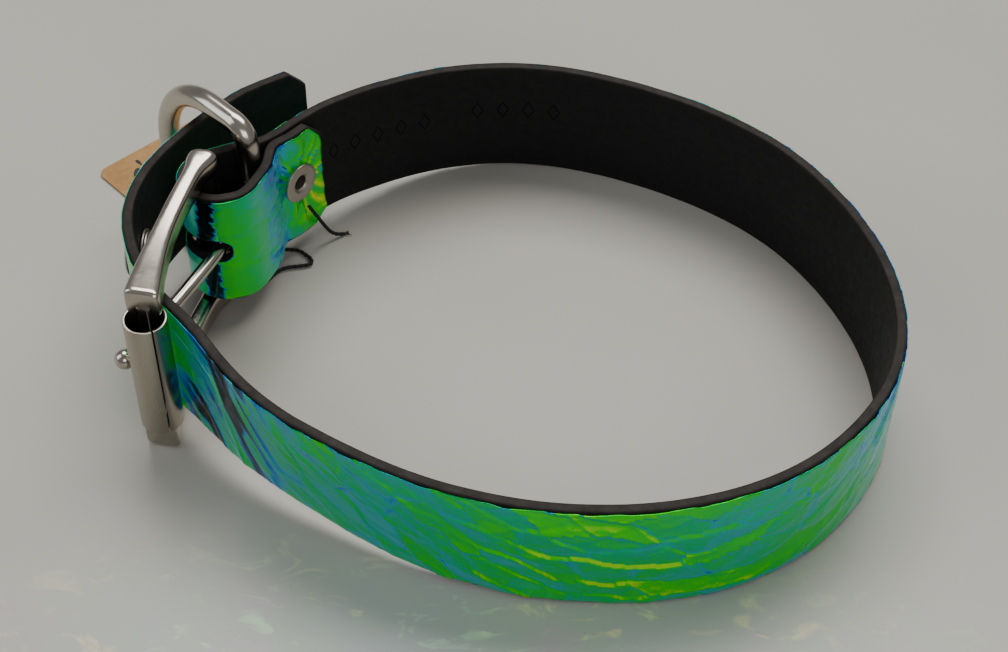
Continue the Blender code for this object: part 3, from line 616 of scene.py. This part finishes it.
def add_turned(name, profile, finish, matrix, steps=96, closed=True):
    """A profile of (radius, height) points turned about local Z."""
    rings = []
    for k in range(steps):
        a = 2 * math.pi * k / steps
        rings.append([(r * math.cos(a), r * math.sin(a), z) for r, z in profile])
    faces = grid_faces(steps, len(profile), True, closed)
    item = add_mesh(name, [p for ring in rings for p in ring], faces, finish)
    with editing(item) as edit:
        bmesh.ops.remove_doubles(edit, verts=edit.verts, dist=0.002 * MM)
        bmesh.ops.recalc_face_normals(edit, faces=edit.faces)
    item.data.set_sharp_from_angle(angle=math.radians(38))
    item.matrix_world = matrix
    return item


def rounded(profile, radius):
    """A closed profile with its corners rounded, each by five points."""
    points = [Vector(p) for p in profile]
    made = []
    for i, p in enumerate(points):
        before = points[i - 1] - p
        after = points[(i + 1) % len(points)] - p
        reach = min(radius, before.length * 0.45, after.length * 0.45)
        a = p + before.normalized() * reach
        b = p + after.normalized() * reach
        for t in np.linspace(0, 1, 5):
            made.append(tuple((1 - t) ** 2 * a + 2 * t * (1 - t) * p + t ** 2 * b))
    return made


def store(item, name, values):
    """Values at the points of a mesh, for its material to read."""
    layer = item.data.attributes.new(name, "FLOAT", "POINT")
    layer.data.foreach_set("value", np.asarray(values, dtype=np.float32).ravel())


def finish_piece(item, body, slot, *nodes):
    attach(item, body)
    if nodes:
        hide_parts(*nodes)
    return item


# ---------------- strap and facing

def strap_point(path, s, h, offset):
    """World points for arc length s, height h over the lower edge, and offset outward."""
    place, out = path.many(s)
    lean = np.tan(front_lean(path, s))
    reach = offset + h * lean
    return np.stack([place[..., 0] + out[..., 0] * reach, place[..., 1] + out[..., 1] * reach,
                     strap_bottom(place[..., 0]) + h], axis=-1)


def make_strap(path, holes, finish):
    """Leather with rounded, slightly uneven edges; it closes up to the back of the facing."""
    outer = FILM_IN - 0.03 * MM
    inner = -LEATHER_FACE
    step = 0.7 * MM
    bead = 0.45 * MM
    edge = rounded([(outer, 0), (outer, STRAP_WIDTH), (inner, STRAP_WIDTH), (inner, 0)], bead)
    middle = np.linspace(0, STRAP_WIDTH, 15)[1:-1]
    section = [*edge[:5], *((outer, z) for z in middle), *edge[5:15],
               *((inner, z) for z in middle[::-1]), *edge[15:]]
    offset, height = np.array(section).T
    rows = []
    worn = []
    for at in np.linspace(0, path.length, int(path.length / step)):
        trimmed = max(END_CHAMFER - min(at, path.length - at), 0.0)
        share = 1 - 2 * trimmed / STRAP_WIDTH
        h = STRAP_WIDTH / 2 + (height - STRAP_WIDTH / 2) * share
        near = np.minimum(h - trimmed, STRAP_WIDTH - trimmed - h)
        uneven = 0.12 * MM * (noise2(at / (5 * MM), (h > STRAP_WIDTH / 2) * 9.0) - 0.5)
        h = np.where(near < bead, h + uneven * np.clip(1 - near / bead, 0, 1), h)
        rows.append(strap_point(path, np.full(len(h), at), h, offset))
        worn.append(np.clip(1.25 - near / bead, 0, 1))
    strap = add_skin("strap_leather", rows, finish, sharp=80)
    store(strap, "edge", np.concatenate(worn))
    for matrix, radius in holes:
        cutter = add_turned("hole", [(radius, -3.9 * MM), (radius, 2.2 * MM), (0, 2.2 * MM),
                                     (0, -3.9 * MM)], finish, matrix, 48)
        carve(strap, cutter)
    carve(strap, slot_cutter(finish))
    return strap


def slot_cutter(finish):
    """Oval prong slot round the fold."""
    half = PRONG_WIRE / 2 + 1.25 * MM
    right = HEEL_BAR_AT.x + HEEL_BAR_DIAMETER / 2 + PRONG_WIRE * 0.88
    left = FOLD_CENTRE.x - FOLD_RADIUS - FILM_OUT - 1.5 * MM
    bend = arc_points((right - half, 0.0), half, -math.pi / 2, math.pi / 2, 0.4 * MM)
    outline = [*bend, (left, half), (left, -half)]
    front = FOLD_CENTRE.y - FOLD_RADIUS - FILM_OUT - MM
    back = FOLD_CENTRE.y + FOLD_RADIUS * 0.7
    rings = [[(x, y, BUCKLE_MID_Z + z) for x, z in outline] for y in (front, back)]
    return add_skin("slot", rings, finish)


def carve(item, cutter):
    step = item.modifiers.new("cut", "BOOLEAN")
    step.operation = "DIFFERENCE"
    step.solver = "EXACT"
    step.object = cutter
    mesh = evaluated_mesh(item)
    item.modifiers.clear()
    item.data = mesh
    bpy.data.objects.remove(cutter, do_unlink=True)


def crinkle(path, s, h, rivet_at):
    """Displacement of the facing, outward, over arc length s and height h."""
    before = path.pass_s - s
    plane = crease_plane(s, h)
    high = creases(plane, 0.0, 15 * MM, 5.0 * MM, 1) - 0.35
    mid = creases(plane, 0.35, 8 * MM, 2.8 * MM, 2) - 0.35
    tilt, rise, line = facets(plane, 0.0, 15 * MM, 4.4 * MM, 3)
    tilt2, rise2, line2 = facets(plane, -0.4, 8 * MM, 2.4 * MM, 8)
    calm = np.clip(0.35 + 1.3 * noise2(s / (22 * MM), h / (14 * MM), 11), 0.3, 1.2)
    lift = (0.10 * high + 0.03 * mid + 0.09 * (rise / MM) + 0.05 * (rise2 / MM)
            + 0.06 * line * np.sign(tilt) + 0.025 * line2)
    # Deep folds that fan out of the buckle on the front.
    fan = np.clip(1 - np.abs(before - 13 * MM) / (15 * MM), 0, 1) ** 0.7
    steep = creases(plane, 0.15, 12 * MM, 2.8 * MM, 13) - 0.4
    lift = lift * calm * (1 - 0.6 * fan) + 0.30 * steep * fan
    # Pleats round the rivet.
    ds = s - rivet_at
    dh = h - RIVET_HEIGHT
    r = np.hypot(ds, dh)
    turn = np.arctan2(dh, ds)
    ring = np.exp(-((r - 6.5 * MM) / (5.2 * MM)) ** 2) * (s < path.fold_start)
    pleat = np.sin(15 * turn + 5 * noise2(turn * 2.2, r / (4 * MM), 21)) * ring
    smooth = np.where((s > path.fold_start - 6 * MM) & (s < path.fold_end + 4 * MM), 0.22, 1.0)
    lift = lift * smooth * (1 - 0.75 * ring) + 0.15 * pleat
    # Lie flat under the rivet, the eyelets and the roller.
    at_roller = np.clip(np.abs(before) / (6 * MM), 0, 1)
    tail = np.where(s > path.pass_s, 0.5, 1.0)
    flat = smooth * (1 - ring) * (1 - 0.5 * fan)
    # Painted light and shade on the facets: the hue shifts with each facet's tilt, darkens on the
    # crease lines of facets tilted one way, brightens on those tilted the other way, and darkens a
    # little on the finer crease lines.
    tone = flat * (0.05 * tilt + 0.03 * tilt2 - 0.11 * line * (tilt < 0.3)
                   + 0.07 * line * (tilt > 0.55) - 0.03 * line2)
    return np.clip(lift * at_roller * tail, -0.17, 0.26) * MM, pleat, fan, tone


def make_facing(path, holes, rivet_at, finish):
    """The film: a fine grid with real creases, cut round the holes, with an uneven edge."""
    step = 0.42 * MM
    columns = int((path.length - 2 * FILM_INSET) / step)
    rows = int(STRAP_WIDTH / step)
    ds = (path.length - 2 * FILM_INSET) / (columns - 1)
    dh = STRAP_WIDTH / (rows - 1)
    s, v = np.meshgrid(np.linspace(FILM_INSET, path.length - FILM_INSET, columns),
                       np.linspace(0, 1, rows), indexing="ij")
    trimmed = np.clip(END_CHAMFER - np.minimum(s, path.length - s), 0, None)
    low = FILM_INSET + trimmed + 0.30 * MM * (noise2(s / (2.6 * MM), 0.0, 31) - 0.4)
    high = (STRAP_WIDTH - FILM_INSET - trimmed
            - 0.45 * MM * (noise2(s / (2.2 * MM), 0.0, 33) - 0.4))
    h = low + (high - low) * v
    # The end beyond the rivet is cut by hand.
    at_end = np.clip(1 - s / (3 * MM), 0, 1)
    s = s + at_end * 0.5 * MM * noise2(h / (1.8 * MM), 0.0, 35)
    lift, pleat, fan, tone = crinkle(path, s, h, rivet_at)
    along, up = np.gradient(lift, ds, dh)
    # In the fold the colours meet on a ragged line.
    in_fold = (s > path.fold_start) & (s < path.fold_end)
    ragged = 1.3 * MM * (noise2(h / (0.55 * MM), 0.0, 41) - 0.5) * in_fold
    base = np.interp((s + ragged) / MM, *zip(*PHASE_ALONG))
    drift = 0.10 * (noise2(s / (17 * MM), h / (9 * MM), 51) - 0.5)
    lower = 0.05 * (0.5 - h / STRAP_WIDTH)
    # Painted shade: dark streaks along the creases of the deep folds that fan out of the buckle,
    # which darken the phase towards black below.
    run, across = crease_plane(s, h)
    fold_shade_streaks = noise2(across / (1.5 * MM), run / (9 * MM), 61)
    dark = np.clip(fan * 1.4, 0, 1) * np.clip(fold_shade_streaks * 5.0 - 2.2, 0, 1)
    # Painted reflection and shade: the hue shifts with the slope of each crease, with the pleats
    # and with the facet tone, and goes dark along some pleat crests round the rivet.
    phase = base + drift + lower + tone - 0.55 * up + 0.25 * along + 0.07 * pleat
    phase -= 0.6 * np.clip((pleat - 0.86) / 0.08, 0, 1) * (noise2(h / (1.7 * MM), 0.0, 71) > 0.5)
    # Yellow glints on the crests at the middle of the front.
    middle = np.exp(-((s - GLINTS_AT) / GLINTS_REACH) ** 2)
    glint = np.clip(-up * 5 - 0.5, 0, 1) * middle * (h < 0.62 * STRAP_WIDTH)
    brightest = np.where(pleat > 0.1, 1.0, 0.80)
    phase = np.minimum(phase + 0.14 * glint, brightest) * (1 - 0.95 * dark)
    points = strap_point(path, s, h, FILM_IN + 0.14 * MM + lift)
    keep = np.ones(s.shape, dtype=bool)
    for matrix, radius in holes:
        inverse = matrix.inverted()
        local = points @ np.array(inverse.to_3x3()).T + np.array(inverse.translation)
        inside = np.hypot(local[..., 0], local[..., 1]) < radius
        keep &= ~(inside & (np.abs(local[..., 2]) < 4 * MM))
    faces = [f for f in grid_faces(columns, rows) if all(keep.flat[k] for k in f)]
    film = add_mesh("facing_film", points.reshape(-1, 3), faces, finish)
    store(film, "phase", np.clip(phase, 0, 1))
    with editing(film) as edit:
        loose = [vert for vert in edit.verts if not vert.link_faces]
        bmesh.ops.delete(edit, geom=loose, context="VERTS")
    shell = film.modifiers.new("thickness", "SOLIDIFY")
    shell.thickness = 0.1 * MM
    shell.offset = 0
    carve(film, slot_cutter(finish))
    return film


# ---------------- buckle

def make_arm(name, side, finish):
    """One arm: a crisp block at the roller, a bowed waist, and a rounded heel."""
    middle_z = BUCKLE_MID_Z + side * (FRAME_OPENING + ARM_HEIGHT) / 2
    front = FRONT_BAR_AT - BAR_DIRECTION * (1.2 * MM if side > 0 else 3.0 * MM)
    heel = HEEL_BAR_AT + BAR_DIRECTION * 2.4 * MM
    run = (heel - front).length
    out = Vector((-BAR_DIRECTION.y, BAR_DIRECTION.x))
    rings = []
    shares = [0.0, 0.004, 0.010, *np.linspace(0.018, 0.93, 60), *np.linspace(0.94, 1, 18)]
    for share in shares:
        bow = ARM_BOW * math.sin(math.pi * share) ** 0.9 if 0 < share < 1 else 0.0
        centre = front + BAR_DIRECTION * run * share + out * bow
        taper = min(share / 0.55, 1.0)
        waist = ARM_FRONT_WIDTH + (ARM_WAIST_WIDTH - ARM_FRONT_WIDTH) * math.sin(
            taper * math.pi / 2) ** 1.3
        width = waist + 1.9 * MM * math.exp(-((share - 0.93) / 0.07) ** 2)
        height = ARM_HEIGHT * (1 - 0.16 * math.sin(math.pi * min(share / 0.9, 1.0)))
        close = min((1 - share) / 0.06, 1.0)
        end = math.sqrt(max(1 - (1 - close) ** 2, 0.02))
        lip = 1 - 0.10 * max(1 - share / 0.018, 0) ** 2
        level = middle_z - side * (ARM_HEIGHT - height * end * lip) / 2
        power = 5.5 - 2.6 * min(share / 0.8, 1.0)
        ring = []
        for k in range(64):
            a = 2 * math.pi * (k + 0.5) / 64
            u, w = (math.copysign(abs(v) ** (2 / power), v) for v in (math.cos(a), math.sin(a)))
            u *= width / 2 * end * lip
            w *= height / 2 * end * lip
            ring.append((centre[0] + out[0] * u, centre[1] + out[1] * u, level + w))
        rings.append(ring)
    return add_skin(name, rings, finish, sharp=35)


def make_bar(name, place, diameter, finish):
    reach = (FRAME_OPENING + ARM_HEIGHT) / 2 - 0.6 * MM
    z = np.linspace(BUCKLE_MID_Z - reach, BUCKLE_MID_Z + reach, 12)
    return add_wire(name, [(place[0], place[1], h) for h in z], diameter / 2, finish, 48)


def make_roller(finish):
    """Rolled sheet, open along its seam, with rims rounded by the shears."""
    seam = math.radians(-62)
    half = 0.16 * MM / ROLLER_RADIUS
    length = FRAME_OPENING - 0.6 * MM
    inner = ROLLER_RADIUS - ROLLER_WALL
    rings = []
    profile = rounded([(ROLLER_RADIUS, -length / 2), (ROLLER_RADIUS, length / 2),
                       (inner, length / 2), (inner, -length / 2)], 0.16 * MM)
    for angle in np.linspace(seam + half, seam + 2 * math.pi - half, 120):
        rings.append([(ROLLER_AT.x + r * math.cos(angle), ROLLER_AT.y + r * math.sin(angle),
                       BUCKLE_MID_Z + z) for r, z in profile])
    return add_skin("roller_tube", rings, finish)


def prong_line():
    """Seen from above: the curl round the heel bar, then the shank to the tip."""
    curl_radius = HEEL_BAR_DIAMETER / 2 + 0.3 * MM + PRONG_WIRE / 2
    end = math.radians(-20.0)
    curl = arc_points(HEEL_BAR_AT, curl_radius, math.radians(235.0), end, MM)
    tip_angle = math.radians(157.0)
    tip = ROLLER_AT + (ROLLER_RADIUS + TOUCH_GAP + PRONG_BULB / 2) * Vector(
        (math.cos(tip_angle), math.sin(tip_angle)))
    shank = smooth_curve([curl[-1], tip], (math.sin(end), -math.cos(end)),
                         Vector((-0.47, -0.88)).normalized(), 1.2 * MM)
    return np.concatenate([curl, shank[1:]])


def make_prong(finish):
    """Round wire with a bulb at its tip."""
    line = prong_line()
    s = lengths_along(line)
    bulb = PRONG_BULB / 2
    direction = (line[-1] - line[-2]) / np.linalg.norm(line[-1] - line[-2])
    start = s[-1] - bulb * 2.1
    body = [(place, PRONG_WIRE / 2) for place in at_length(np.linspace(0, start, 110), s, line)]
    for a in np.radians(np.linspace(140, 2, 26)):
        body.append((line[-1] + direction * bulb * math.cos(a), max(bulb * math.sin(a), 0.06 * MM)))
    places, radii = zip(*body)
    return add_wire("prong_wire", [(*p, BUCKLE_MID_Z) for p in places], radii, finish, 40)


def make_ring(finish):
    """The D-ring: a bow, two legs, and the straight bar between round corners."""
    middle = RING_LIFT + RING_WIRE / 2 + RING_HALF
    corner = RING_WIRE * 0.8
    leg_middle = RING_LEGS * 0.66
    points = []
    for angle in np.radians(np.linspace(-90, 90, 97)):
        points.append((RING_LEGS + (RING_DEPTH - RING_LEGS) * math.cos(angle), 0.0,
                       middle + RING_HALF * math.sin(angle)))
    points.append((leg_middle, 0.0, middle + RING_HALF))
    for side in (1, -1):
        turns = np.radians(np.linspace(0, 90, 12))
        bend = [(corner * (1 - math.sin(a)), 0.0,
                 middle + side * (RING_HALF - corner + corner * math.cos(a))) for a in turns]
        points.extend(bend if side == 1 else reversed(bend))
    points.append((leg_middle, 0.0, middle - RING_HALF))
    turn = Matrix.Rotation(RING_BEARING, 3, "Z")
    world = [turn @ Vector(p) + Vector((*RING_BAR_AT, 0)) for p in points]
    return add_wire("ring_wire", world, RING_WIRE / 2, finish, 40, closed=True)


# ---------------- rivet and eyelets

def make_rivet(path, finish, dark):
    """Tubular rivet, a dark disc down its bore as painted shade, and the domed cap on the outer
    face.
    """
    place = path.frame(path.rivet_s, RIVET_HEIGHT)
    flange = 4.0 * MM
    barrel = 2.1 * MM
    bore = 1.5 * MM
    seat = -(LAYER_PITCH + FILM_OUT + 0.18 * MM)
    low = seat - 0.62 * MM
    top = FILM_OUT + 0.3 * MM
    profile = rounded([(barrel, top), (barrel, seat), (flange, seat), (flange, low + 0.1 * MM),
                       (flange - 0.5 * MM, low), (bore + 0.6 * MM, low),
                       (bore, low + 0.45 * MM), (bore, top)], 0.12 * MM)
    tubular = add_turned("tab_rivet_flange", profile, finish, place)
    # Painted shade: a dark disc set inside the bore, where only shade would show.
    inside = bore - 0.02 * MM
    bore_shade = add_turned("tab_rivet_bore_shade", [(inside, -1.6 * MM), (inside, -1.2 * MM),
                                         (0, -1.2 * MM), (0, -1.6 * MM)], dark, place, 48)
    rim = 3.8 * MM
    seat = FILM_OUT + 0.35 * MM
    dome = [(rim * math.sin(a), seat + 0.4 * MM + MM * math.cos(a))
            for a in np.radians(np.linspace(0, 82, 16))]
    cap = add_turned("rivet_dome", [*dome, (rim, seat + 0.3 * MM), (rim - 0.15 * MM, seat),
                                    (0.0, seat)], finish, place, closed=False)
    return tubular, bore_shade, cap


def make_eyelet(path, number, s, finish):
    """An eyelet with a rolled rim, and the washer that it is spread over inside."""
    place = path.frame(s, STRAP_WIDTH / 2)
    bore = 3.0 * MM
    barrel = bore + 0.3 * MM
    flange = 4.4 * MM
    top = FILM_OUT + 0.22 * MM
    washer = -LEATHER_FACE - 0.22 * MM
    shell = rounded([(flange, top), (barrel, top), (barrel, washer - 0.5 * MM),
                     (barrel + 0.8 * MM, washer - 0.5 * MM),
                     (barrel + 0.7 * MM, washer - 0.85 * MM), (bore, washer - 0.85 * MM),
                     (bore, top + 0.25 * MM), (bore + 0.35 * MM, top + 0.5 * MM),
                     (flange - 0.35 * MM, top + 0.4 * MM)], 0.14 * MM)
    eyelet = add_turned(f"eyelet_shell_{number}", shell, finish, place)
    ring = rounded([(flange, washer), (flange, washer - 0.38 * MM),
                    (barrel + 0.2 * MM, washer - 0.38 * MM), (barrel + 0.2 * MM, washer)],
                   0.1 * MM)
    return eyelet, add_turned(f"eyelet_ring_{number}", ring, finish, place)


# ---------------- tag, string, stamps

def outline_plate(name, outline, holes, thickness, finish, bevel=0.0):
    """A flat plate of an outline, with holes or more outlines beside it."""
    curve = bpy.data.curves.new(name, "CURVE")
    curve.dimensions = "2D"
    curve.fill_mode = "BOTH"
    curve.extrude = thickness / 2 - bevel
    curve.bevel_depth = bevel
    curve.offset = -bevel
    for points in (outline, *holes):
        spline = curve.splines.new("POLY")
        spline.points.add(len(points) - 1)
        for i, point in enumerate(points):
            spline.points[i].co = (point[0], point[1], 0.0, 1.0)
        spline.use_cyclic_u = True
    source = add_object(name, curve)
    mesh = evaluated_mesh(source)
    bpy.data.objects.remove(source, do_unlink=True)
    mesh.materials.clear()
    mesh.materials.append(finish)
    return add_object(name, mesh)


def make_tag(finish, ink):
    """Kraft card with rounded corners, lying on the table, and a plain sprig printed on it."""
    corner = 2.0 * MM
    outline = []
    for cx, cy, start in ((corner, corner, -180), (TAG_LENGTH - corner, corner, -90),
                          (TAG_LENGTH - corner, TAG_WIDTH - corner, 0),
                          (corner, TAG_WIDTH - corner, 90)):
        outline.extend(arc_points((cx, cy), corner, math.radians(start),
                                  math.radians(start + 90), 0.4 * MM))
    hole = arc_points((TAG_LENGTH - 4.5 * MM, TAG_WIDTH / 2), 1.5 * MM, 0, 2 * math.pi,
                      0.3 * MM)[:-1]
    place = (Matrix.Translation((*TAG_CORNER_AT, 0.3 * MM))
             @ Matrix.Rotation(TAG_BEARING, 4, "Z"))
    tag = outline_plate("tag_card", outline, [hole], 0.4 * MM, finish, 0.05 * MM)
    tag.matrix_world = place
    shapes = []
    for cx, cy, length, turn in ((7.6, 8.0, 3.9, 0), (5.6, 10.2, 2.9, 50), (5.6, 5.8, 2.9, -50),
                                 (3.4, 8.0, 2.1, 0)):
        leaf = []
        for a in np.linspace(0, 2 * math.pi, 24, endpoint=False):
            along = Vector((length / 2 * math.cos(a),
                            length / 5.5 * math.sin(a) * (1 - 0.3 * math.cos(a))))
            along.rotate(Matrix.Rotation(math.radians(turn), 2))
            leaf.append((cx + along.x, cy + along.y))
        shapes.append(millimetres(leaf))
    print_on = outline_plate("tag_print", shapes[0], shapes[1:], 0.02 * MM, ink)
    print_on.matrix_world = place @ Matrix.Translation((0, 0, 0.21 * MM))
    return tag, print_on


def make_stamps(path, finish):
    """Two rows of blind-stamped diamonds on the inner face, beside the tab and behind it."""
    verts = []
    faces = []
    for row, start, count in ((13.5, 76, 5), (14.5, 108, 4)):
        for k in range(count):
            s = (start + k * 5.2) * MM
            base = len(verts)
            for scale, depth in ((1.0, 0.02), (0.62, -0.04)):
                for dx, dz in ((1.25, 0), (0, 2.0), (-1.25, 0), (0, -2.0)):
                    verts.append(strap_point(path, s + dx * scale * MM, (row + dz * scale) * MM,
                                             -LEATHER_FACE - depth * MM))
            for j in range(4):
                n = (j + 1) % 4
                faces.append((base + j, base + n, base + 4 + n, base + 4 + j))
            faces.append(tuple(base + 4 + j for j in range(4)))
    return add_mesh("stamped_marks", verts, faces, finish, smooth=False)


def make_string(name, points, finish):
    """A twisted string and its route."""
    route = smooth_curve(millimetres(points), step=0.35 * MM)
    return add_wire(name, route, STRING_DIAMETER / 2, finish, 20, twist=STRING_LAY), route


def make_fray():
    """Routes of the loose fibres at the bare end of the string."""
    tip = np.array(STRING_END_ROUTE[-1]) * MM
    direction = np.array((0.85, 0.35, -0.05))
    rng = np.random.default_rng(4)
    fibres = []
    for _ in range(7):
        aim = direction + rng.normal(0, 0.28, 3) * (1, 1, 0.35)
        aim /= np.linalg.norm(aim)
        length = (0.8 + 0.7 * rng.random()) * MM
        points = [tip + aim * length * t + np.array((0, 0, -0.12 * MM * t * t))
                  for t in np.linspace(0, 1, 6)]
        for p in points:
            p[2] = max(p[2], 0.1 * MM)
        fibres.append(points)
    return fibres


# ---------------- light, floor, camera

def add_light(name, size, energy, location, target, colour=(1, 1, 1)):
    data = bpy.data.lights.new(name, "AREA")
    data.shape = "RECTANGLE"
    data.size, data.size_y = size
    data.energy = energy
    data.color = colour
    lamp = add_object(name, data)
    lamp.location = location
    lamp.rotation_mode = "QUATERNION"
    lamp.rotation_quaternion = (Vector(target) - Vector(location)).to_track_quat("-Z", "Y")


def set_stage():
    size = 3.0
    floor = add_mesh("floor", [(-size, -size, 0), (size, -size, 0), (size, size, 0),
                               (-size, size, 0)], [(0, 1, 2, 3)], table_material())
    add_light("key", (0.9, 0.5), 10.5, (0.10, 0.45, 0.85), (0, 0, 0), (1.0, 0.985, 0.95))
    add_light("left", (0.5, 0.8), 3.0, (-0.8, -0.05, 0.55), (0, 0, 0), (0.93, 0.97, 1.0))
    add_light("front", (0.7, 0.4), 2.6, (0.25, -0.75, 0.55), (0, 0, 0))
    world = bpy.data.worlds.new("studio")
    bpy.context.scene.world = world
    world.use_nodes = True
    background = world.node_tree.nodes["Background"]
    background.inputs["Color"].default_value = (0.62, 0.63, 0.64, 1)
    background.inputs["Strength"].default_value = 0.42


def set_camera():
    """In front of the collar, 0.25 m over the table, looking down at it."""
    forward = Vector((0, math.cos(CAMERA_PITCH), -math.sin(CAMERA_PITCH)))
    turn = Matrix.Rotation(-CAMERA_ROLL, 3, forward)
    right = turn @ Vector((1, 0, 0))
    up = turn @ Vector((0, math.sin(CAMERA_PITCH), math.cos(CAMERA_PITCH)))
    data = bpy.data.cameras.new("camera")
    data.lens = CAMERA_LENS
    data.sensor_width = 36.0
    data.clip_start = 0.01
    data.dof.use_dof = False
    camera = add_object("camera", data)
    camera.matrix_world = (Matrix.Translation(CAMERA_AT)
                           @ Matrix((right, up, -forward)).transposed().to_4x4())
    bpy.context.scene.camera = camera


# ---------------- the collar

def build():
    film = facing_material()
    leather = leather_material()
    nickel = metal_material("nickel", (0.54, 0.495, 0.43), (0.40, 0.365, 0.31), 0.20)
    brushed = metal_material("roller_nickel", (0.44, 0.40, 0.34), (0.31, 0.28, 0.235), 0.27,
                             (1, 1, 0.08), 0.15)
    satin = metal_material("satin_steel", (0.46, 0.41, 0.36), (0.30, 0.27, 0.235), 0.40,
                           (1, 1, 1), 0.25)
    kraft = kraft_material()
    ink = dark_material("ink", (0.02, 0.016, 0.013), (0.05, 0.04, 0.03), 0.7)
    thread = dark_material("black_string", (0.004, 0.004, 0.005), (0.022, 0.020, 0.020), 0.8)
    stamped = dark_material("stamped_leather_and_bore_shade", (0.0006, 0.0006, 0.0007),
                            (0.0012, 0.0012, 0.0014), 0.9, 0.03)

    path = StrapPath()
    first = path.crossing(prong_line(), path.pass_s + 3 * MM) + PRONG_SLACK
    eyelets = [first + i * EYELET_PITCH for i in range(EYELET_COUNT)]
    holes = [(path.frame(path.rivet_s, RIVET_HEIGHT), RIVET_HOLE_RADIUS)]
    holes += [(path.frame(s, STRAP_WIDTH / 2), EYELET_HOLE_RADIUS) for s in eyelets]

    finish_piece(make_strap(path, holes, leather), "collar", "leather", "strap")
    film_piece = make_facing(path, holes, TAB_BEYOND_RIVET, film)
    finish_piece(film_piece, "collar", "iridescent_vinyl", "facing")
    finish_piece(make_stamps(path, stamped), "collar", "leather")

    finish_piece(make_arm("upper_arm", 1, nickel), "buckle", "nickel", "buckle_frame")
    for piece in (make_arm("lower_arm", -1, nickel),
                  make_bar("heel_bar", HEEL_BAR_AT, HEEL_BAR_DIAMETER, nickel),
                  make_bar("front_bar", FRONT_BAR_AT, FRONT_BAR_DIAMETER, nickel)):
        finish_piece(piece, "buckle", "nickel")
    finish_piece(make_roller(brushed), "roller", "nickel", "roller")
    finish_piece(make_prong(nickel), "prong", "nickel", "prong")
    finish_piece(make_ring(nickel), "ring", "nickel", "d_ring")

    # The dark stamped leather material also paints the shade down the rivet's bore.
    tubular, bore_shade, cap = make_rivet(path, satin, stamped)
    finish_piece(tubular, "collar", "satin_steel", "tab_rivet")
    finish_piece(bore_shade, "collar", "satin_steel")
    finish_piece(cap, "collar", "satin_steel", "rivet_cap")
    for i, s in enumerate(eyelets):
        eyelet, washer = make_eyelet(path, i + 1, s, satin)
        finish_piece(eyelet, "collar", "satin_steel", f"eyelet_{i + 1}")
        finish_piece(washer, "collar", "satin_steel", f"eyelet_washer_{i + 1}")

    tag, print_on = make_tag(kraft, ink)
    finish_piece(tag, "collar", "kraft_card", "hang_tag")
    finish_piece(print_on, "collar", "kraft_card")
    string, route = make_string("tag_cord", STRING_ROUTE, thread)
    finish_piece(string, "collar", "black_string", "tag_string")
    end, _ = make_string("string_tail", STRING_END_ROUTE, thread)
    finish_piece(end, "collar", "black_string", "string_end")
    for i, points in enumerate(make_fray()):
        fibre = add_wire(f"fibre_{i}", points, 0.07 * MM, thread, 6)
        finish_piece(fibre, "collar", "black_string")


def main():
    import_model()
    build()
    set_stage()
    set_camera()


main()
